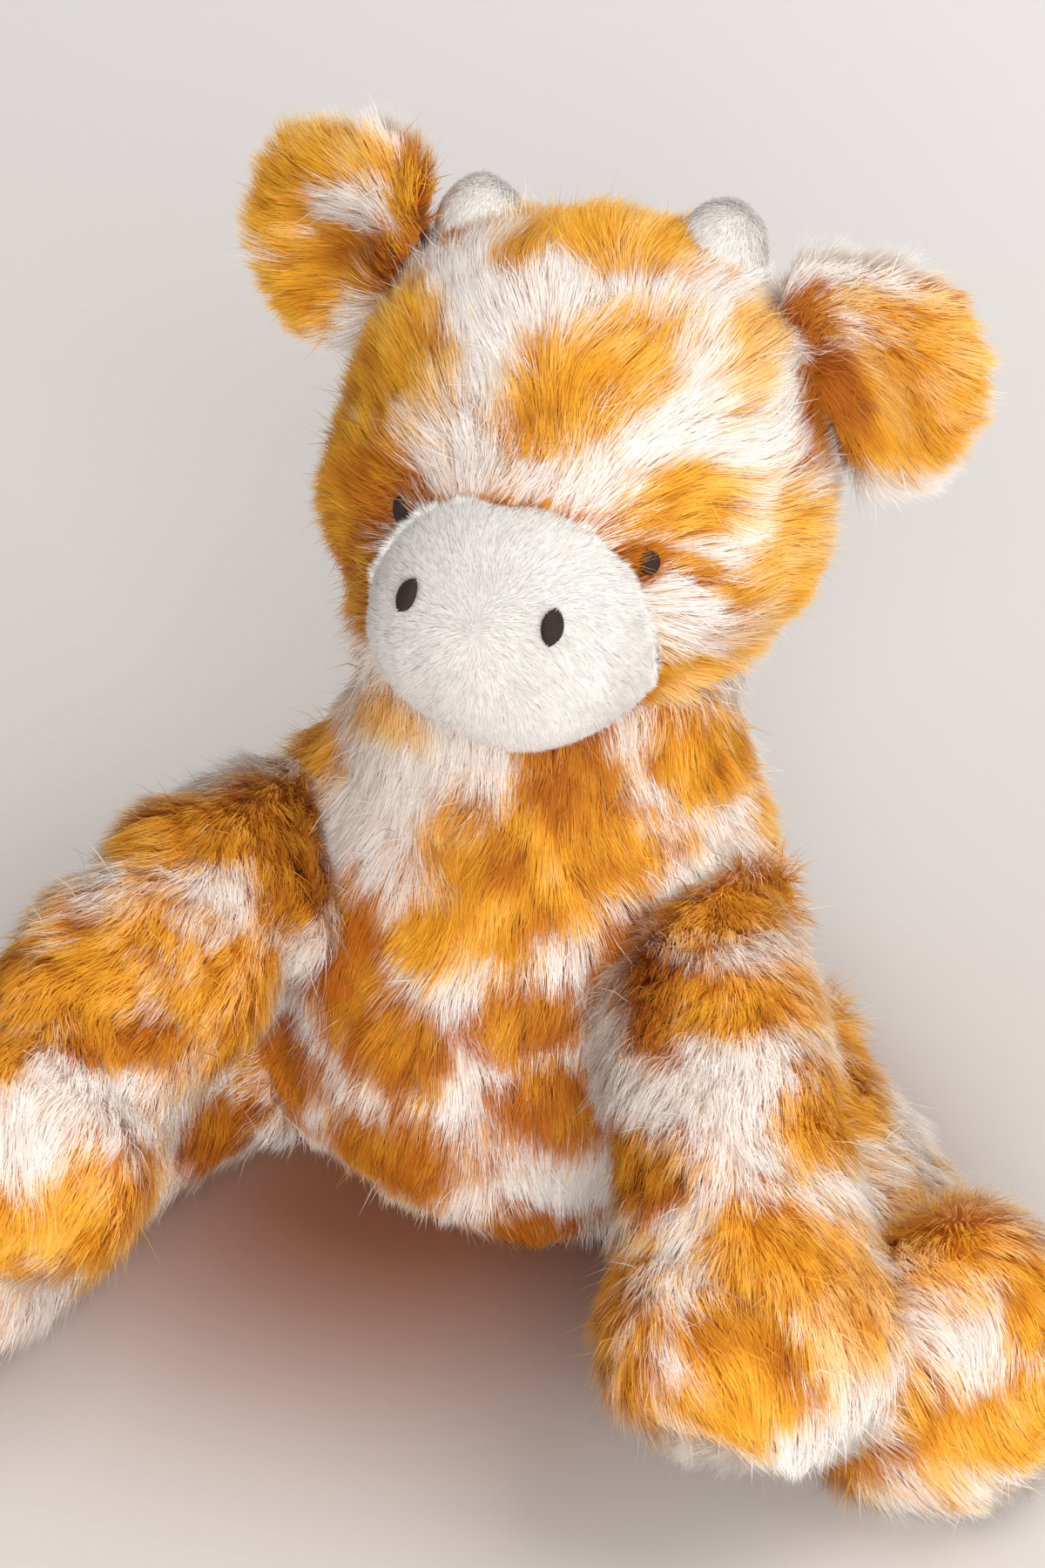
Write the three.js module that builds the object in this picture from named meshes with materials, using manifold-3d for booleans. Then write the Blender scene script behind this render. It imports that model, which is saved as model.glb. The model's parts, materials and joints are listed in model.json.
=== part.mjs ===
// A seated plush giraffe with a large head, laid out as its pieces lie before they are sewn together.
// Each skin is a hollow of fur fabric, open where it is sewn to its neighbour, with a wad of fibre inside.
// The seat and the four feet also hold a pouch of plastic pellets. Sizes are in millimetres and degrees.
// +Z is up, the toy faces -Y, its own left side is +X, and the origin is the middle of the seat.
import * as THREE from "three";
import { mergeVertices } from "three/addons/utils/BufferGeometryUtils.js";
import Module from "manifold-3d";

const wasm = await Module();
wasm.setup();

// Fabric and fit
const furSkin = 7; // long-pile fabric, from the inside of the backing to the mean height of the pile
const shortSkin = 3; // short-pile fabric of the muzzle and the ossicones
const fit = 0.3; // gap between two pieces that touch
const floorPress = 0.5; // how deep the floor presses the underside of a leg flat
const overrun = 20; // how far a form runs past the cut that ends it
const roomSize = 1000; // side of a block that the whole toy fits in

// Torso
const neckSeam = 128; // height of the seam between the neck and the head
const neckRadius = 41;
const neckBack = 4; // the neck stands this far behind the middle of the seat
const neckOut = 5; // and this far to the toy's left
const collarRadius = 36; // what the head's form narrows to below the seam
const neckFoot = 112; // height at which the torso has narrowed to the neck
const hipRadius = 60;
const hipLine = 38; // height of the widest part
const seatRadius = 37; // of the flat that the toy sits on
const haunchRadius = 52; // between the seat and the widest part
const haunchLine = 13;
const waistRadius = 50;
const waistLine = 80;
const torsoDepthShare = 0.93; // depth of the torso over its width

// Head
const headLine = 167; // height of the middle of the head
const headBack = 6;
const headOut = 8;
const headRadius = 50; // at the middle
const cheekRadius = 51.5;
const cheekDrop = 16; // below the middle of the head
const crownHeight = 51; // from the middle of the head to the crown
const templeRadius = 38;
const templeRise = 32; // above the middle of the head
const browRadius = 19; // between the temples and the crown
const browRise = 44.5;
const headDepthShare = 0.97;
const headTilt = 4; // degrees that the head leans to its own left side
const headLook = 3.5; // degrees that the head looks to its own left side
const headTurn = 25; // degrees that the head turns each way on the neck
const crownSlip = 4; // degrees that the ears and ossicones sit round from the face, towards the toy's right

// Muzzle
const muzzleHalfWidth = 30.5;
const muzzleHalfLength = 27;
const muzzleHalfHeight = 28.5;
const muzzleForward = 39; // from the middle of the head to the middle of the muzzle
const muzzleDrop = 18;
const nostrilSpread = 15; // from the mid-plane to each nostril
const nostrilRise = 10.5; // above the middle of the muzzle
const nostrilHalfWidth = 2.3;
const nostrilHalfHeight = 3.3;
const threadHalfDepth = 1.2; // half the thickness of an embroidered patch

// Eyes
const eyeSpread = 27;
const eyeDrop = 2; // below the middle of the head
const eyeHalfWidth = 2.2;
const eyeHalfHeight = 2.6;
const eyeSink = 4; // how deep the eye lies in the pile
const eyeWellShare = 2.5; // width of the well in the pile over the width of the eye

// Ears
const earOut = 38; // from the middle of the head to the root of the ear
const earBack = 10;
const earUp = 21;
const earHalfLength = 23.5;
const earHalfWidth = 30.5;
const earHalfThickness = 7.5;
const earRootSink = 5; // how far the root of the ear would reach into the head
const liningRadius = 38; // of the curve between the two panels of an ear
const liningDepth = 8; // from the front of the ear back to the bottom of that curve
const cupRadius = 28; // of the hollow in the front of the ear
const cupDepth = 5;
const earPitch = 18; // degrees that the front of the ear faces down
const earSweep = 10; // degrees that the ear points back
const rightEarRise = 36; // degrees that the right ear stands above level
const leftEarRise = -15;
const earFold = 25; // degrees that an ear folds each way

// Ossicones
const ossiconeRadius = 10.5;
const ossiconeHalfLength = 12;
const ossiconeOut = 24.5; // from the middle of the head to the middle of each knob
const ossiconeBack = 12;
const ossiconeUp = 39.5;

// Arms
const shoulderOut = 36;
const shoulderBack = 2;
const shoulderHeight = 71;
const shoulderRadius = 21;
const forearmRadius = 22.5;
const wristRadius = 24;
const armBow = 11; // how far the arm bows up between the shoulder and the paw
const pawHalfWidth = 29;
const pawHalfLength = 27;
const pawHalfHeight = 24.5;
const leftPawOut = 86;
const leftPawForward = 101;
const leftPawHeight = 45;
const rightPawOut = 58;
const rightPawForward = 115;
const rightPawHeight = 64;
const armLift = 40; // degrees that an arm lifts

// Legs
const hipOut = 44;
const hipBack = 4;
const thighRadius = 28;
const kneeRadius = 27;
const ankleRadius = 24;
const leftKneeOut = 75;
const leftKneeForward = 32;
const rightKneeOut = 70;
const rightKneeForward = 36;
const footHalfWidth = 27;
const footHalfLength = 25;
const footHalfHeight = 31;
const leftFootOut = 120;
const leftFootForward = 74;
const rightFootOut = 82;
const rightFootForward = 110;
const legSwing = 20; // degrees that a leg swings outwards

// Tail
const tailRadius = 8;
const tailRootBack = 40;
const tailRootHeight = 34;
const tailEndBack = 84;
const tailEndHeight = 15;
const tailSag = 4; // of the middle of the tail under a straight line
const tuftHalfLength = 16;
const tuftRadius = 11;
const tailSwing = 20; // degrees that the tail swings each way

// Pellet pouches
const seatPouchRadius = 34;
const seatPouchHeight = 26;
const footPouchRadius = 21;

// How finely the soft forms are divided
const bodySides = 20;
const hollowSides = 12; // inside the torso and the head
const limbSides = 14;
const innerSides = 8; // inside the smaller pieces
const smallSides = 10;
const threadSides = 8;
const domeSteps = 2;
const ballRowsShare = 0.6; // rows of a ball over its sides

const place = (x, y, z) => new THREE.Vector3(x, y, z);
const sidewards = place(1, 0, 0);
const backwards = place(0, 1, 0);
const upwards = place(0, 0, 1);

function turnAbout(centre, axis, degrees) {
  const turn = new THREE.Matrix4().makeRotationAxis(axis, THREE.MathUtils.degToRad(degrees));
  const home = new THREE.Matrix4().makeTranslation(centre.clone().negate());
  return new THREE.Matrix4().makeTranslation(centre).multiply(turn).multiply(home);
}

function solidOf(geometry) {
  const bare = geometry.clone();
  bare.deleteAttribute("normal");
  bare.deleteAttribute("uv");
  const merged = mergeVertices(bare);
  const vertProperties = Float32Array.from(merged.attributes.position.array);
  const triVerts = Uint32Array.from(merged.index.array);
  return new wasm.Manifold(new wasm.Mesh({ numProp: 3, vertProperties, triVerts }));
}

function geometryOf(solid) {
  const mesh = solid.getMesh();
  const geometry = new THREE.BufferGeometry();
  geometry.setAttribute("position", new THREE.BufferAttribute(mesh.vertProperties, 3));
  geometry.setIndex(new THREE.BufferAttribute(mesh.triVerts, 1));
  geometry.computeVertexNormals();
  return geometry;
}

// A closed skin through a stack of rings, each a list of corners, that closes on a point under and over them
function loft(under, rings, over) {
  const sides = rings[0].length;
  const corners = [...rings.flat(), under, over];
  const foot = corners.length - 2;
  const top = foot - sides;
  const faces = [];
  for (let i = 0; i < sides; i++) {
    const next = (i + 1) % sides;
    faces.push(foot, next, i);
    faces.push(foot + 1, top + i, top + next);
    for (let ring = 0; ring < top; ring += sides) {
      faces.push(ring + i, ring + next, ring + sides + next);
      faces.push(ring + i, ring + sides + next, ring + sides + i);
    }
  }
  return new THREE.BufferGeometry().setFromPoints(corners).setIndex(faces);
}

function ringOf(middle, across, along, sides) {
  const cornerAt = (angle) =>
    middle.clone().addScaledVector(across, Math.cos(angle)).addScaledVector(along, Math.sin(angle));
  return Array.from({ length: sides }, (_, i) => cornerAt((2 * Math.PI * i) / sides));
}

// An upright body that swells and tapers. The outline holds [radius, height] from its foot to its top, the
// inset moves it in square to itself, and middleAt gives the middle of the body at a height.
function uprightForm({ outline, depthShare, middleAt, inset, sides, steps }) {
  const curve = new THREE.SplineCurve(outline.map(([radius, height]) => new THREE.Vector2(radius, height)));
  const middles = [];
  const rings = [];
  for (let i = 0; i <= steps; i++) {
    const corner = curve.getPointAt(i / steps);
    const tangent = curve.getTangentAt(i / steps);
    const radius = corner.x - inset * tangent.y;
    const height = corner.y + inset * tangent.x;
    middles.push(middleAt(height));
    rings.push(ringOf(middles[i], place(radius, 0, 0), place(0, radius * depthShare, 0), sides));
  }
  const pointed = outline.at(-1)[0] === 0;
  return loft(middles[0], pointed ? rings.slice(0, -1) : rings, middles.at(-1));
}

// A stuffed tube round a smooth line, with a dome on each end. Its radii are spread evenly along the line.
function tubeForm({ line, radii, inset, sides, steps }) {
  const curve = new THREE.CatmullRomCurve3(line, false, "centripetal");
  const girth = new THREE.SplineCurve(radii.map((radius, i) => new THREE.Vector2(i, radius)));
  const level = curve.getTangentAt(0).cross(upwards).normalize();
  const middleAt = (share, reachShare) => {
    const reach = reachShare * (girth.getPoint(share).y - inset);
    return curve.getPointAt(share).addScaledVector(curve.getTangentAt(share), reach);
  };
  const ringAt = (share, reachShare, sizeShare) => {
    const tangent = curve.getTangentAt(share);
    const radius = sizeShare * (girth.getPoint(share).y - inset);
    const across = level.clone().addScaledVector(tangent, -level.dot(tangent)).setLength(radius);
    return ringOf(middleAt(share, reachShare), across, tangent.clone().cross(across), sides);
  };
  const domeAt = (share, way) =>
    Array.from({ length: domeSteps }, (_, i) => {
      const angle = (Math.PI / 2) * ((i + 1) / (domeSteps + 1));
      return ringAt(share, way * Math.sin(angle), Math.cos(angle));
    });
  const trunk = Array.from({ length: steps + 1 }, (_, i) => ringAt(i / steps, 0, 1));
  return loft(middleAt(0, -1), [...domeAt(0, -1).reverse(), ...trunk, ...domeAt(1, 1)], middleAt(1, 1));
}

// A ball with a half size along each of the three directions of its own frame
function ballForm(halfSizes, sides, frame) {
  const geometry = new THREE.SphereGeometry(1, sides, Math.round(sides * ballRowsShare));
  return geometry.rotateX(Math.PI / 2).scale(...halfSizes).applyMatrix4(frame);
}

// The space over a height, which trims what must not reach below it
function spaceOver(height) {
  const block = new THREE.BoxGeometry(roomSize, roomSize, roomSize);
  return solidOf(block.translate(0, 0, height + roomSize / 2));
}
const overFloor = spaceOver(0);
const overNeck = spaceOver(neckSeam);
const overSeam = spaceOver(neckSeam + fit);

const seatMiddle = place(0, 0, 0);
const neckTop = place(neckOut, neckBack, neckSeam);
const headMiddle = place(headOut, headBack, headLine);

// The point at a height on the straight line between two points, or straight over or under the nearer one
function pointBetween(low, high, height) {
  const share = THREE.MathUtils.clamp(THREE.MathUtils.inverseLerp(low.z, high.z, height), 0, 1);
  return low.clone().lerp(high, share).setZ(height);
}

function torsoForm(inset, sides = bodySides) {
  const outline = [
    [seatRadius, 0],
    [haunchRadius, haunchLine],
    [hipRadius, hipLine],
    [waistRadius, waistLine],
    [neckRadius, neckFoot],
    [neckRadius, neckSeam + overrun],
  ];
  const middleAt = (height) => pointBetween(seatMiddle, neckTop, height);
  return uprightForm({ outline, depthShare: torsoDepthShare, middleAt, inset, sides, steps: sides / 2 });
}

// The head as it is held, a little turned and tilted on the neck
const held = turnAbout(neckTop, upwards, headLook).multiply(turnAbout(neckTop, backwards, headTilt));
const onHead = (out, forward, up) => headMiddle.clone().add(place(out, -forward, up));
const slipped = held.clone().multiply(turnAbout(headMiddle, backwards, -crownSlip));

function headForm(inset, sides = bodySides) {
  const outline = [
    [collarRadius, neckSeam - overrun],
    [neckRadius, neckSeam],
    [cheekRadius, headLine - cheekDrop],
    [headRadius, headLine],
    [templeRadius, headLine + templeRise],
    [browRadius, headLine + browRise],
    [0, headLine + crownHeight],
  ];
  const middleAt = (height) => pointBetween(neckTop, headMiddle, height);
  const form = uprightForm({ outline, depthShare: headDepthShare, middleAt, inset, sides, steps: sides / 2 });
  return form.applyMatrix4(held);
}

// Hollows and fillings follow the outer form, moved in. Each runs past the seam where its skin is sewn on.
const lining = furSkin + fit;
const shortLining = shortSkin + fit;
const torsoNear = torsoForm(-fit);
const headNear = headForm(-fit);

// Torso: the skin, the wad of fibre and, low in the seat, the pouch of pellets
function seatPouchForm(inset) {
  const sizes = [seatPouchRadius - inset, seatPouchRadius - inset, seatPouchHeight - inset];
  return solidOf(ballForm(sizes, innerSides, new THREE.Matrix4().makeTranslation(0, 0, lining)));
}
const torsoInside = solidOf(torsoForm(lining, hollowSides)).subtract(overNeck);
const torso = {
  skin: solidOf(torsoForm(0)).subtract(solidOf(torsoForm(furSkin, hollowSides))).subtract(overNeck),
  filling: torsoInside.subtract(seatPouchForm(-fit)),
  pouch: torsoInside.intersect(seatPouchForm(0)),
};

// A frame on a surface, with its second direction along the way that the surface faces
function frameOn(spot, facing) {
  const out = facing.clone().normalize();
  const across = out.clone().cross(upwards).normalize();
  const frame = new THREE.Matrix4().makeBasis(across, out, across.clone().cross(out));
  return frame.setPosition(spot);
}

// Eyes: a small embroidered oval deep in the pile, and the well in the pile that it shows through
const eyeTurn = Math.asin(eyeSpread / headRadius);
function eyeFrame(way, sink) {
  const facing = place(way * Math.sin(eyeTurn), -Math.cos(eyeTurn), 0);
  const spot = onHead(0, 0, -eyeDrop).addScaledVector(facing, headRadius - sink);
  return held.clone().multiply(frameOn(spot, facing));
}
function eyeForm(way, inset) {
  const sizes = [eyeHalfWidth, threadHalfDepth, eyeHalfHeight].map((size) => size - inset);
  return solidOf(ballForm(sizes, threadSides, eyeFrame(way, eyeSink)));
}
function eyeWell(way) {
  const sizes = [eyeHalfWidth * eyeWellShare, eyeSink, eyeHalfHeight * eyeWellShare];
  return solidOf(ballForm(sizes, threadSides, eyeFrame(way, 0))).add(eyeForm(way, -fit));
}

// Head
const head = {
  skin: solidOf(headForm(0))
    .subtract(solidOf(headForm(furSkin, hollowSides)))
    .intersect(overSeam)
    .subtract(eyeWell(1))
    .subtract(eyeWell(-1)),
  filling: solidOf(headForm(lining, hollowSides)).intersect(overSeam),
};

// What a solid keeps clear of neighbours that stay where they are while it turns by each of the angles
function clearOf(solid, neighbours, centre, axis, angles) {
  let kept = solid;
  for (const angle of angles)
    for (const neighbour of neighbours)
      kept = kept.subtract(solidOf(neighbour.clone().applyMatrix4(turnAbout(centre, axis, -angle))));
  return kept.decompose().sort((a, b) => b.volume() - a.volume())[0];
}
const turnShares = [0, 0.25, 0.5, 0.75, 1];
const oneWay = (limit) => turnShares.map((share) => limit * share);
const bothWays = (limit) => [-limit, -limit / 2, 0, limit / 2, limit];

// Muzzle: a short-pile cap sewn over the face, with its own wad of fibre, and two embroidered nostrils in it
const muzzleSpot = onHead(0, muzzleForward, -muzzleDrop);
const muzzleSizes = [muzzleHalfWidth, muzzleHalfLength, muzzleHalfHeight];
function muzzleForm(inset, sides = bodySides) {
  const frame = held.clone().multiply(new THREE.Matrix4().makeTranslation(muzzleSpot));
  return solidOf(ballForm(muzzleSizes.map((size) => size - inset), sides, frame));
}
function nostrilForm(way, inset) {
  const out = way * nostrilSpread;
  const levelShare = 1 - (out / muzzleHalfWidth) ** 2 - (nostrilRise / muzzleHalfHeight) ** 2;
  const onMuzzle = place(out, -muzzleHalfLength * Math.sqrt(levelShare), nostrilRise);
  const facing = place(...onMuzzle.toArray().map((part, i) => part / muzzleSizes[i] ** 2));
  const frame = held.clone().multiply(frameOn(onMuzzle.add(muzzleSpot), facing));
  const sizes = [nostrilHalfWidth, threadHalfDepth, nostrilHalfHeight].map((size) => size - inset);
  return solidOf(ballForm(sizes, threadSides, frame));
}
function offTheFace(solid) {
  return clearOf(solid.subtract(solidOf(headNear)), [torsoNear], neckTop, upwards, bothWays(headTurn));
}
const muzzle = {
  skin: offTheFace(muzzleForm(0).subtract(muzzleForm(shortSkin, hollowSides)))
    .subtract(nostrilForm(1, -fit))
    .subtract(nostrilForm(-1, -fit)),
  filling: offTheFace(muzzleForm(shortLining, hollowSides)),
};

// Ossicones: two short-pile knobs, each with its own pinch of fibre
function ossiconeForm(way, inset, sides) {
  const spot = onHead(way * ossiconeOut, -ossiconeBack, ossiconeUp);
  const frame = slipped.clone().multiply(new THREE.Matrix4().makeTranslation(spot));
  const sizes = [ossiconeRadius, ossiconeRadius, ossiconeHalfLength].map((size) => size - inset);
  return ballForm(sizes, sides, frame);
}
function ossicone(way) {
  const hollow = solidOf(ossiconeForm(way, shortSkin, innerSides));
  return {
    skin: solidOf(ossiconeForm(way, 0, smallSides)).subtract(hollow).subtract(solidOf(headNear)),
    filling: solidOf(ossiconeForm(way, shortLining, innerSides)).subtract(solidOf(headNear)),
  };
}

// Ears: a back panel and a hollowed front panel. An ear folds about the line where it is sewn to the head.
function ear(way, rise) {
  const up = THREE.MathUtils.degToRad(rise);
  const back = THREE.MathUtils.degToRad(earSweep);
  const down = THREE.MathUtils.degToRad(earPitch);
  const length = place(way * Math.cos(up) * Math.cos(back), Math.cos(up) * Math.sin(back), Math.sin(up));
  const front = place(0, -Math.cos(down), -Math.sin(down));
  front.addScaledVector(length, -front.dot(length)).normalize();
  const width = front.clone().cross(length);
  const root = onHead(way * earOut, -earBack, earUp).applyMatrix4(slipped);
  const middle = root.clone().addScaledVector(length, earHalfLength - earRootSink);
  const frameAt = (depth) => {
    const spot = middle.clone().addScaledVector(front, depth);
    return new THREE.Matrix4().makeBasis(length, width, front).setPosition(spot);
  };
  const pad = solidOf(ballForm([earHalfLength, earHalfWidth, earHalfThickness], smallSides, frameAt(0)));
  const hollow = (radius, depth, inset) => {
    const size = radius - inset;
    return solidOf(ballForm([size, size, size], bodySides, frameAt(earHalfThickness - depth + radius)));
  };
  const near = [headNear, ossiconeForm(way, -fit, smallSides)];
  const clear = (solid) => clearOf(solid, near, root, width, bothWays(earFold));
  const frontPanel = pad.intersect(hollow(liningRadius, liningDepth, fit));
  return {
    back: clear(pad.subtract(hollow(liningRadius, liningDepth, 0))),
    front: clear(frontPanel.subtract(hollow(cupRadius, cupDepth, 0))),
  };
}

// A limb's form is a stuffed tube, followed by a rounder foot at its end
function limbForms({ line, radii, footSizes, ahead }, inset, sides) {
  const tube = tubeForm({ line, radii, inset, sides, steps: sides / 2 });
  return [tube, ballForm(footSizes.map((size) => size - inset), sides, ahead)];
}

// A limb: its skin, its fibre and the pellets in its foot, all clear of what it turns past
function limb(shape, pouchMiddle, clear) {
  const form = (inset, sides) => {
    const [tube, foot] = limbForms(shape, inset, sides);
    return solidOf(tube).add(solidOf(foot));
  };
  const pouch = (inset) => {
    const size = footPouchRadius - inset;
    return solidOf(ballForm([size, size, size], innerSides, new THREE.Matrix4().setPosition(pouchMiddle)));
  };
  const inside = clear(form(lining, innerSides));
  return {
    skin: clear(form(0, limbSides).subtract(form(furSkin, innerSides))).intersect(overFloor),
    filling: inside.subtract(pouch(-fit)),
    pouch: inside.intersect(pouch(0)),
  };
}

// A leg lies on the floor, so each of its heights is the half thickness there, less what the floor presses
// flat. Its foot is a ball that stands on the floor with its sole to the front.
function legShape({ hip, knee, foot }) {
  const ahead = frameOn(foot, place(foot.x - knee.x, foot.y - knee.y, 0));
  const ankle = place(0, -footHalfLength / 2, 0).applyMatrix4(ahead).setZ(ankleRadius - floorPress);
  const footSizes = [footHalfWidth, footHalfLength, footHalfHeight];
  return { line: [hip, knee, ankle], radii: [thighRadius, kneeRadius, ankleRadius], footSizes, ahead };
}
function leg({ way, hip, ...stance }) {
  const shape = legShape({ hip, ...stance });
  const toe = place(0, footHalfLength / 2, 0).applyMatrix4(shape.ahead).setZ(footHalfHeight / 2);
  return limb(shape, toe, (solid) => clearOf(solid, [torsoNear], hip, upwards, oneWay(way * legSwing)));
}

// An arm: its paw rests against the leg on its side
function arm({ shoulder, paw, ...stance }) {
  const middle = shoulder.clone().add(paw).divideScalar(2).addScaledVector(upwards, armBow);
  const ahead = frameOn(paw, place(paw.x - shoulder.x, paw.y - shoulder.y, 0));
  const shape = {
    line: [shoulder, middle, paw],
    radii: [shoulderRadius, forearmRadius, wristRadius],
    footSizes: [pawHalfWidth, pawHalfLength, pawHalfHeight],
    ahead,
  };
  const toe = place(0, pawHalfLength, 0).applyMatrix4(ahead);
  const near = [torsoNear, ...limbForms(legShape(stance), -fit, limbSides)];
  return limb(shape, toe, (solid) => clearOf(solid, near, shoulder, sidewards, oneWay(-armLift)));
}

// Tail: a narrow rolled tube of fabric with a tuft of yarn sewn over its end
function tail() {
  const root = place(0, tailRootBack, tailRootHeight);
  const end = place(0, tailEndBack, tailEndHeight);
  const middle = root.clone().add(end).divideScalar(2);
  const line = [root, middle.addScaledVector(upwards, -tailSag), end];
  const radii = [tailRadius, tailRadius, tailRadius];
  const tube = (inset) => solidOf(tubeForm({ line, radii, inset, sides: smallSides, steps: smallSides / 2 }));
  const sizes = [tuftRadius, tuftHalfLength, tuftRadius];
  const tuft = solidOf(ballForm(sizes, smallSides, new THREE.Matrix4().makeTranslation(end)));
  return {
    tube: clearOf(tube(0), [torsoNear], root, upwards, bothWays(tailSwing)),
    tuft: tuft.subtract(tube(-fit)),
  };
}

const fur = { color: 0xe0983a, roughness: 0.95, metalness: 0 };
const innerFur = { color: 0xdcd3cb, roughness: 0.95, metalness: 0 };
const shortPile = { color: 0xe4ded7, roughness: 0.9, metalness: 0 };
const thread = { color: 0x4a3731, roughness: 0.6, metalness: 0 };
const fibre = { color: 0xf2efe9, roughness: 1, metalness: 0 };
const pellets = { color: 0xcfc8bd, roughness: 0.7, metalness: 0 };

const giraffe = new THREE.Group();
function addPiece(name, solid, look) {
  const piece = new THREE.Mesh(geometryOf(solid), new THREE.MeshStandardMaterial(look));
  piece.name = name;
  giraffe.add(piece);
}

addPiece("torso_skin", torso.skin, fur);
addPiece("torso_filling", torso.filling, fibre);
addPiece("seat_pouch", torso.pouch, pellets);
addPiece("head_skin", head.skin, fur);
addPiece("head_filling", head.filling, fibre);
addPiece("muzzle_skin", muzzle.skin, shortPile);
addPiece("muzzle_filling", muzzle.filling, fibre);
addPiece("tail_tube", tail().tube, fur);
addPiece("tail_tuft", tail().tuft, fur);

// Where the joints of the limbs lie on each side of the toy
const hipHeight = thighRadius - floorPress;
const kneeHeight = kneeRadius - floorPress;
const footHeight = footHalfHeight - floorPress;
const sides = [
  {
    name: "left",
    way: 1,
    rise: leftEarRise,
    shoulder: place(shoulderOut, shoulderBack, shoulderHeight),
    paw: place(leftPawOut, -leftPawForward, leftPawHeight),
    hip: place(hipOut, hipBack, hipHeight),
    knee: place(leftKneeOut, -leftKneeForward, kneeHeight),
    foot: place(leftFootOut, -leftFootForward, footHeight),
  },
  {
    name: "right",
    way: -1,
    rise: rightEarRise,
    shoulder: place(-shoulderOut, shoulderBack, shoulderHeight),
    paw: place(-rightPawOut, -rightPawForward, rightPawHeight),
    hip: place(-hipOut, hipBack, hipHeight),
    knee: place(-rightKneeOut, -rightKneeForward, kneeHeight),
    foot: place(-rightFootOut, -rightFootForward, footHeight),
  },
];
for (const side of sides) {
  const { name, way } = side;
  addPiece(`eye_${name}`, eyeForm(way, 0), thread);
  addPiece(`nostril_${name}`, nostrilForm(way, 0), thread);
  const knob = ossicone(way);
  addPiece(`ossicone_skin_${name}`, knob.skin, shortPile);
  addPiece(`ossicone_filling_${name}`, knob.filling, fibre);
  const panels = ear(way, side.rise);
  addPiece(`ear_back_${name}`, panels.back, fur);
  addPiece(`ear_front_${name}`, panels.front, innerFur);
  for (const [limbName, pieces] of Object.entries({ arm: arm(side), leg: leg(side) })) {
    addPiece(`${limbName}_skin_${name}`, pieces.skin, fur);
    addPiece(`${limbName}_filling_${name}`, pieces.filling, fibre);
    addPiece(`${limbName}_pouch_${name}`, pieces.pouch, pellets);
  }
}

export default giraffe;
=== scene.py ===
import json
import math

import bmesh
import bpy
import numpy as np
from mathutils import Matrix, Vector
from mathutils.bvhtree import BVHTree
from mathutils.kdtree import KDTree


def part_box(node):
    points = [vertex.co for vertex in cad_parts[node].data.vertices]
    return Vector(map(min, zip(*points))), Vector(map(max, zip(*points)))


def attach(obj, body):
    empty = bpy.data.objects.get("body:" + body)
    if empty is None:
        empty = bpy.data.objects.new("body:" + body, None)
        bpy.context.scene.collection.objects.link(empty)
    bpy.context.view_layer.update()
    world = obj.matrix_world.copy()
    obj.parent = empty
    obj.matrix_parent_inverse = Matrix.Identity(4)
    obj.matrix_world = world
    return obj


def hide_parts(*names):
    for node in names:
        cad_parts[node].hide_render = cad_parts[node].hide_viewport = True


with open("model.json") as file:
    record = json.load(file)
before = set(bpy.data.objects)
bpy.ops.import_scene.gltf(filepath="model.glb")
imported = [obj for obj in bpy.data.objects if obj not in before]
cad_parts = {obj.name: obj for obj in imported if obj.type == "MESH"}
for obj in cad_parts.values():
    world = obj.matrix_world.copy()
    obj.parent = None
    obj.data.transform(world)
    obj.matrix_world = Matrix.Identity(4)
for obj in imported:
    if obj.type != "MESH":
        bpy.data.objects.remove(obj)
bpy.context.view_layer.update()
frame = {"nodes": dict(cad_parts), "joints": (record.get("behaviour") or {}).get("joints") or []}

# Camera
# The photograph looks down on the toy from its front, a little to its left, through a long lens.
# Its pixels, counted in the 1200 by 1800 picture, also place the patches of the fur further down.
PHOTO_SIZE = (1200, 1800)
LENS_PIXELS = 4250  # how many pixels a thing spans that is as wide as it is far away
AIM = Vector((0, 0, 0.09))
CAMERA_REACH = 0.775  # from the aim to the lens
CAMERA_AZIMUTH = math.radians(21)
CAMERA_ELEVATION = math.radians(30)
SENSOR_HEIGHT_MM = 36

toward = Vector(
    (math.sin(CAMERA_AZIMUTH), -math.cos(CAMERA_AZIMUTH), math.tan(CAMERA_ELEVATION))
).normalized()
rightward = Vector((math.cos(CAMERA_AZIMUTH), math.sin(CAMERA_AZIMUTH), 0))
upward = toward.cross(rightward)
camera = bpy.data.objects.new("camera", bpy.data.cameras.new("camera"))
camera.data.sensor_fit = "VERTICAL"
camera.data.sensor_height = SENSOR_HEIGHT_MM
camera.data.lens = LENS_PIXELS / PHOTO_SIZE[1] * SENSOR_HEIGHT_MM
camera_turn = Matrix((rightward, upward, toward)).transposed().to_4x4()
camera.matrix_world = Matrix.Translation(AIM + toward * CAMERA_REACH) @ camera_turn
bpy.context.scene.collection.objects.link(camera)
bpy.context.scene.camera = camera
bpy.context.scene.view_settings.view_transform = "Standard"

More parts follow.
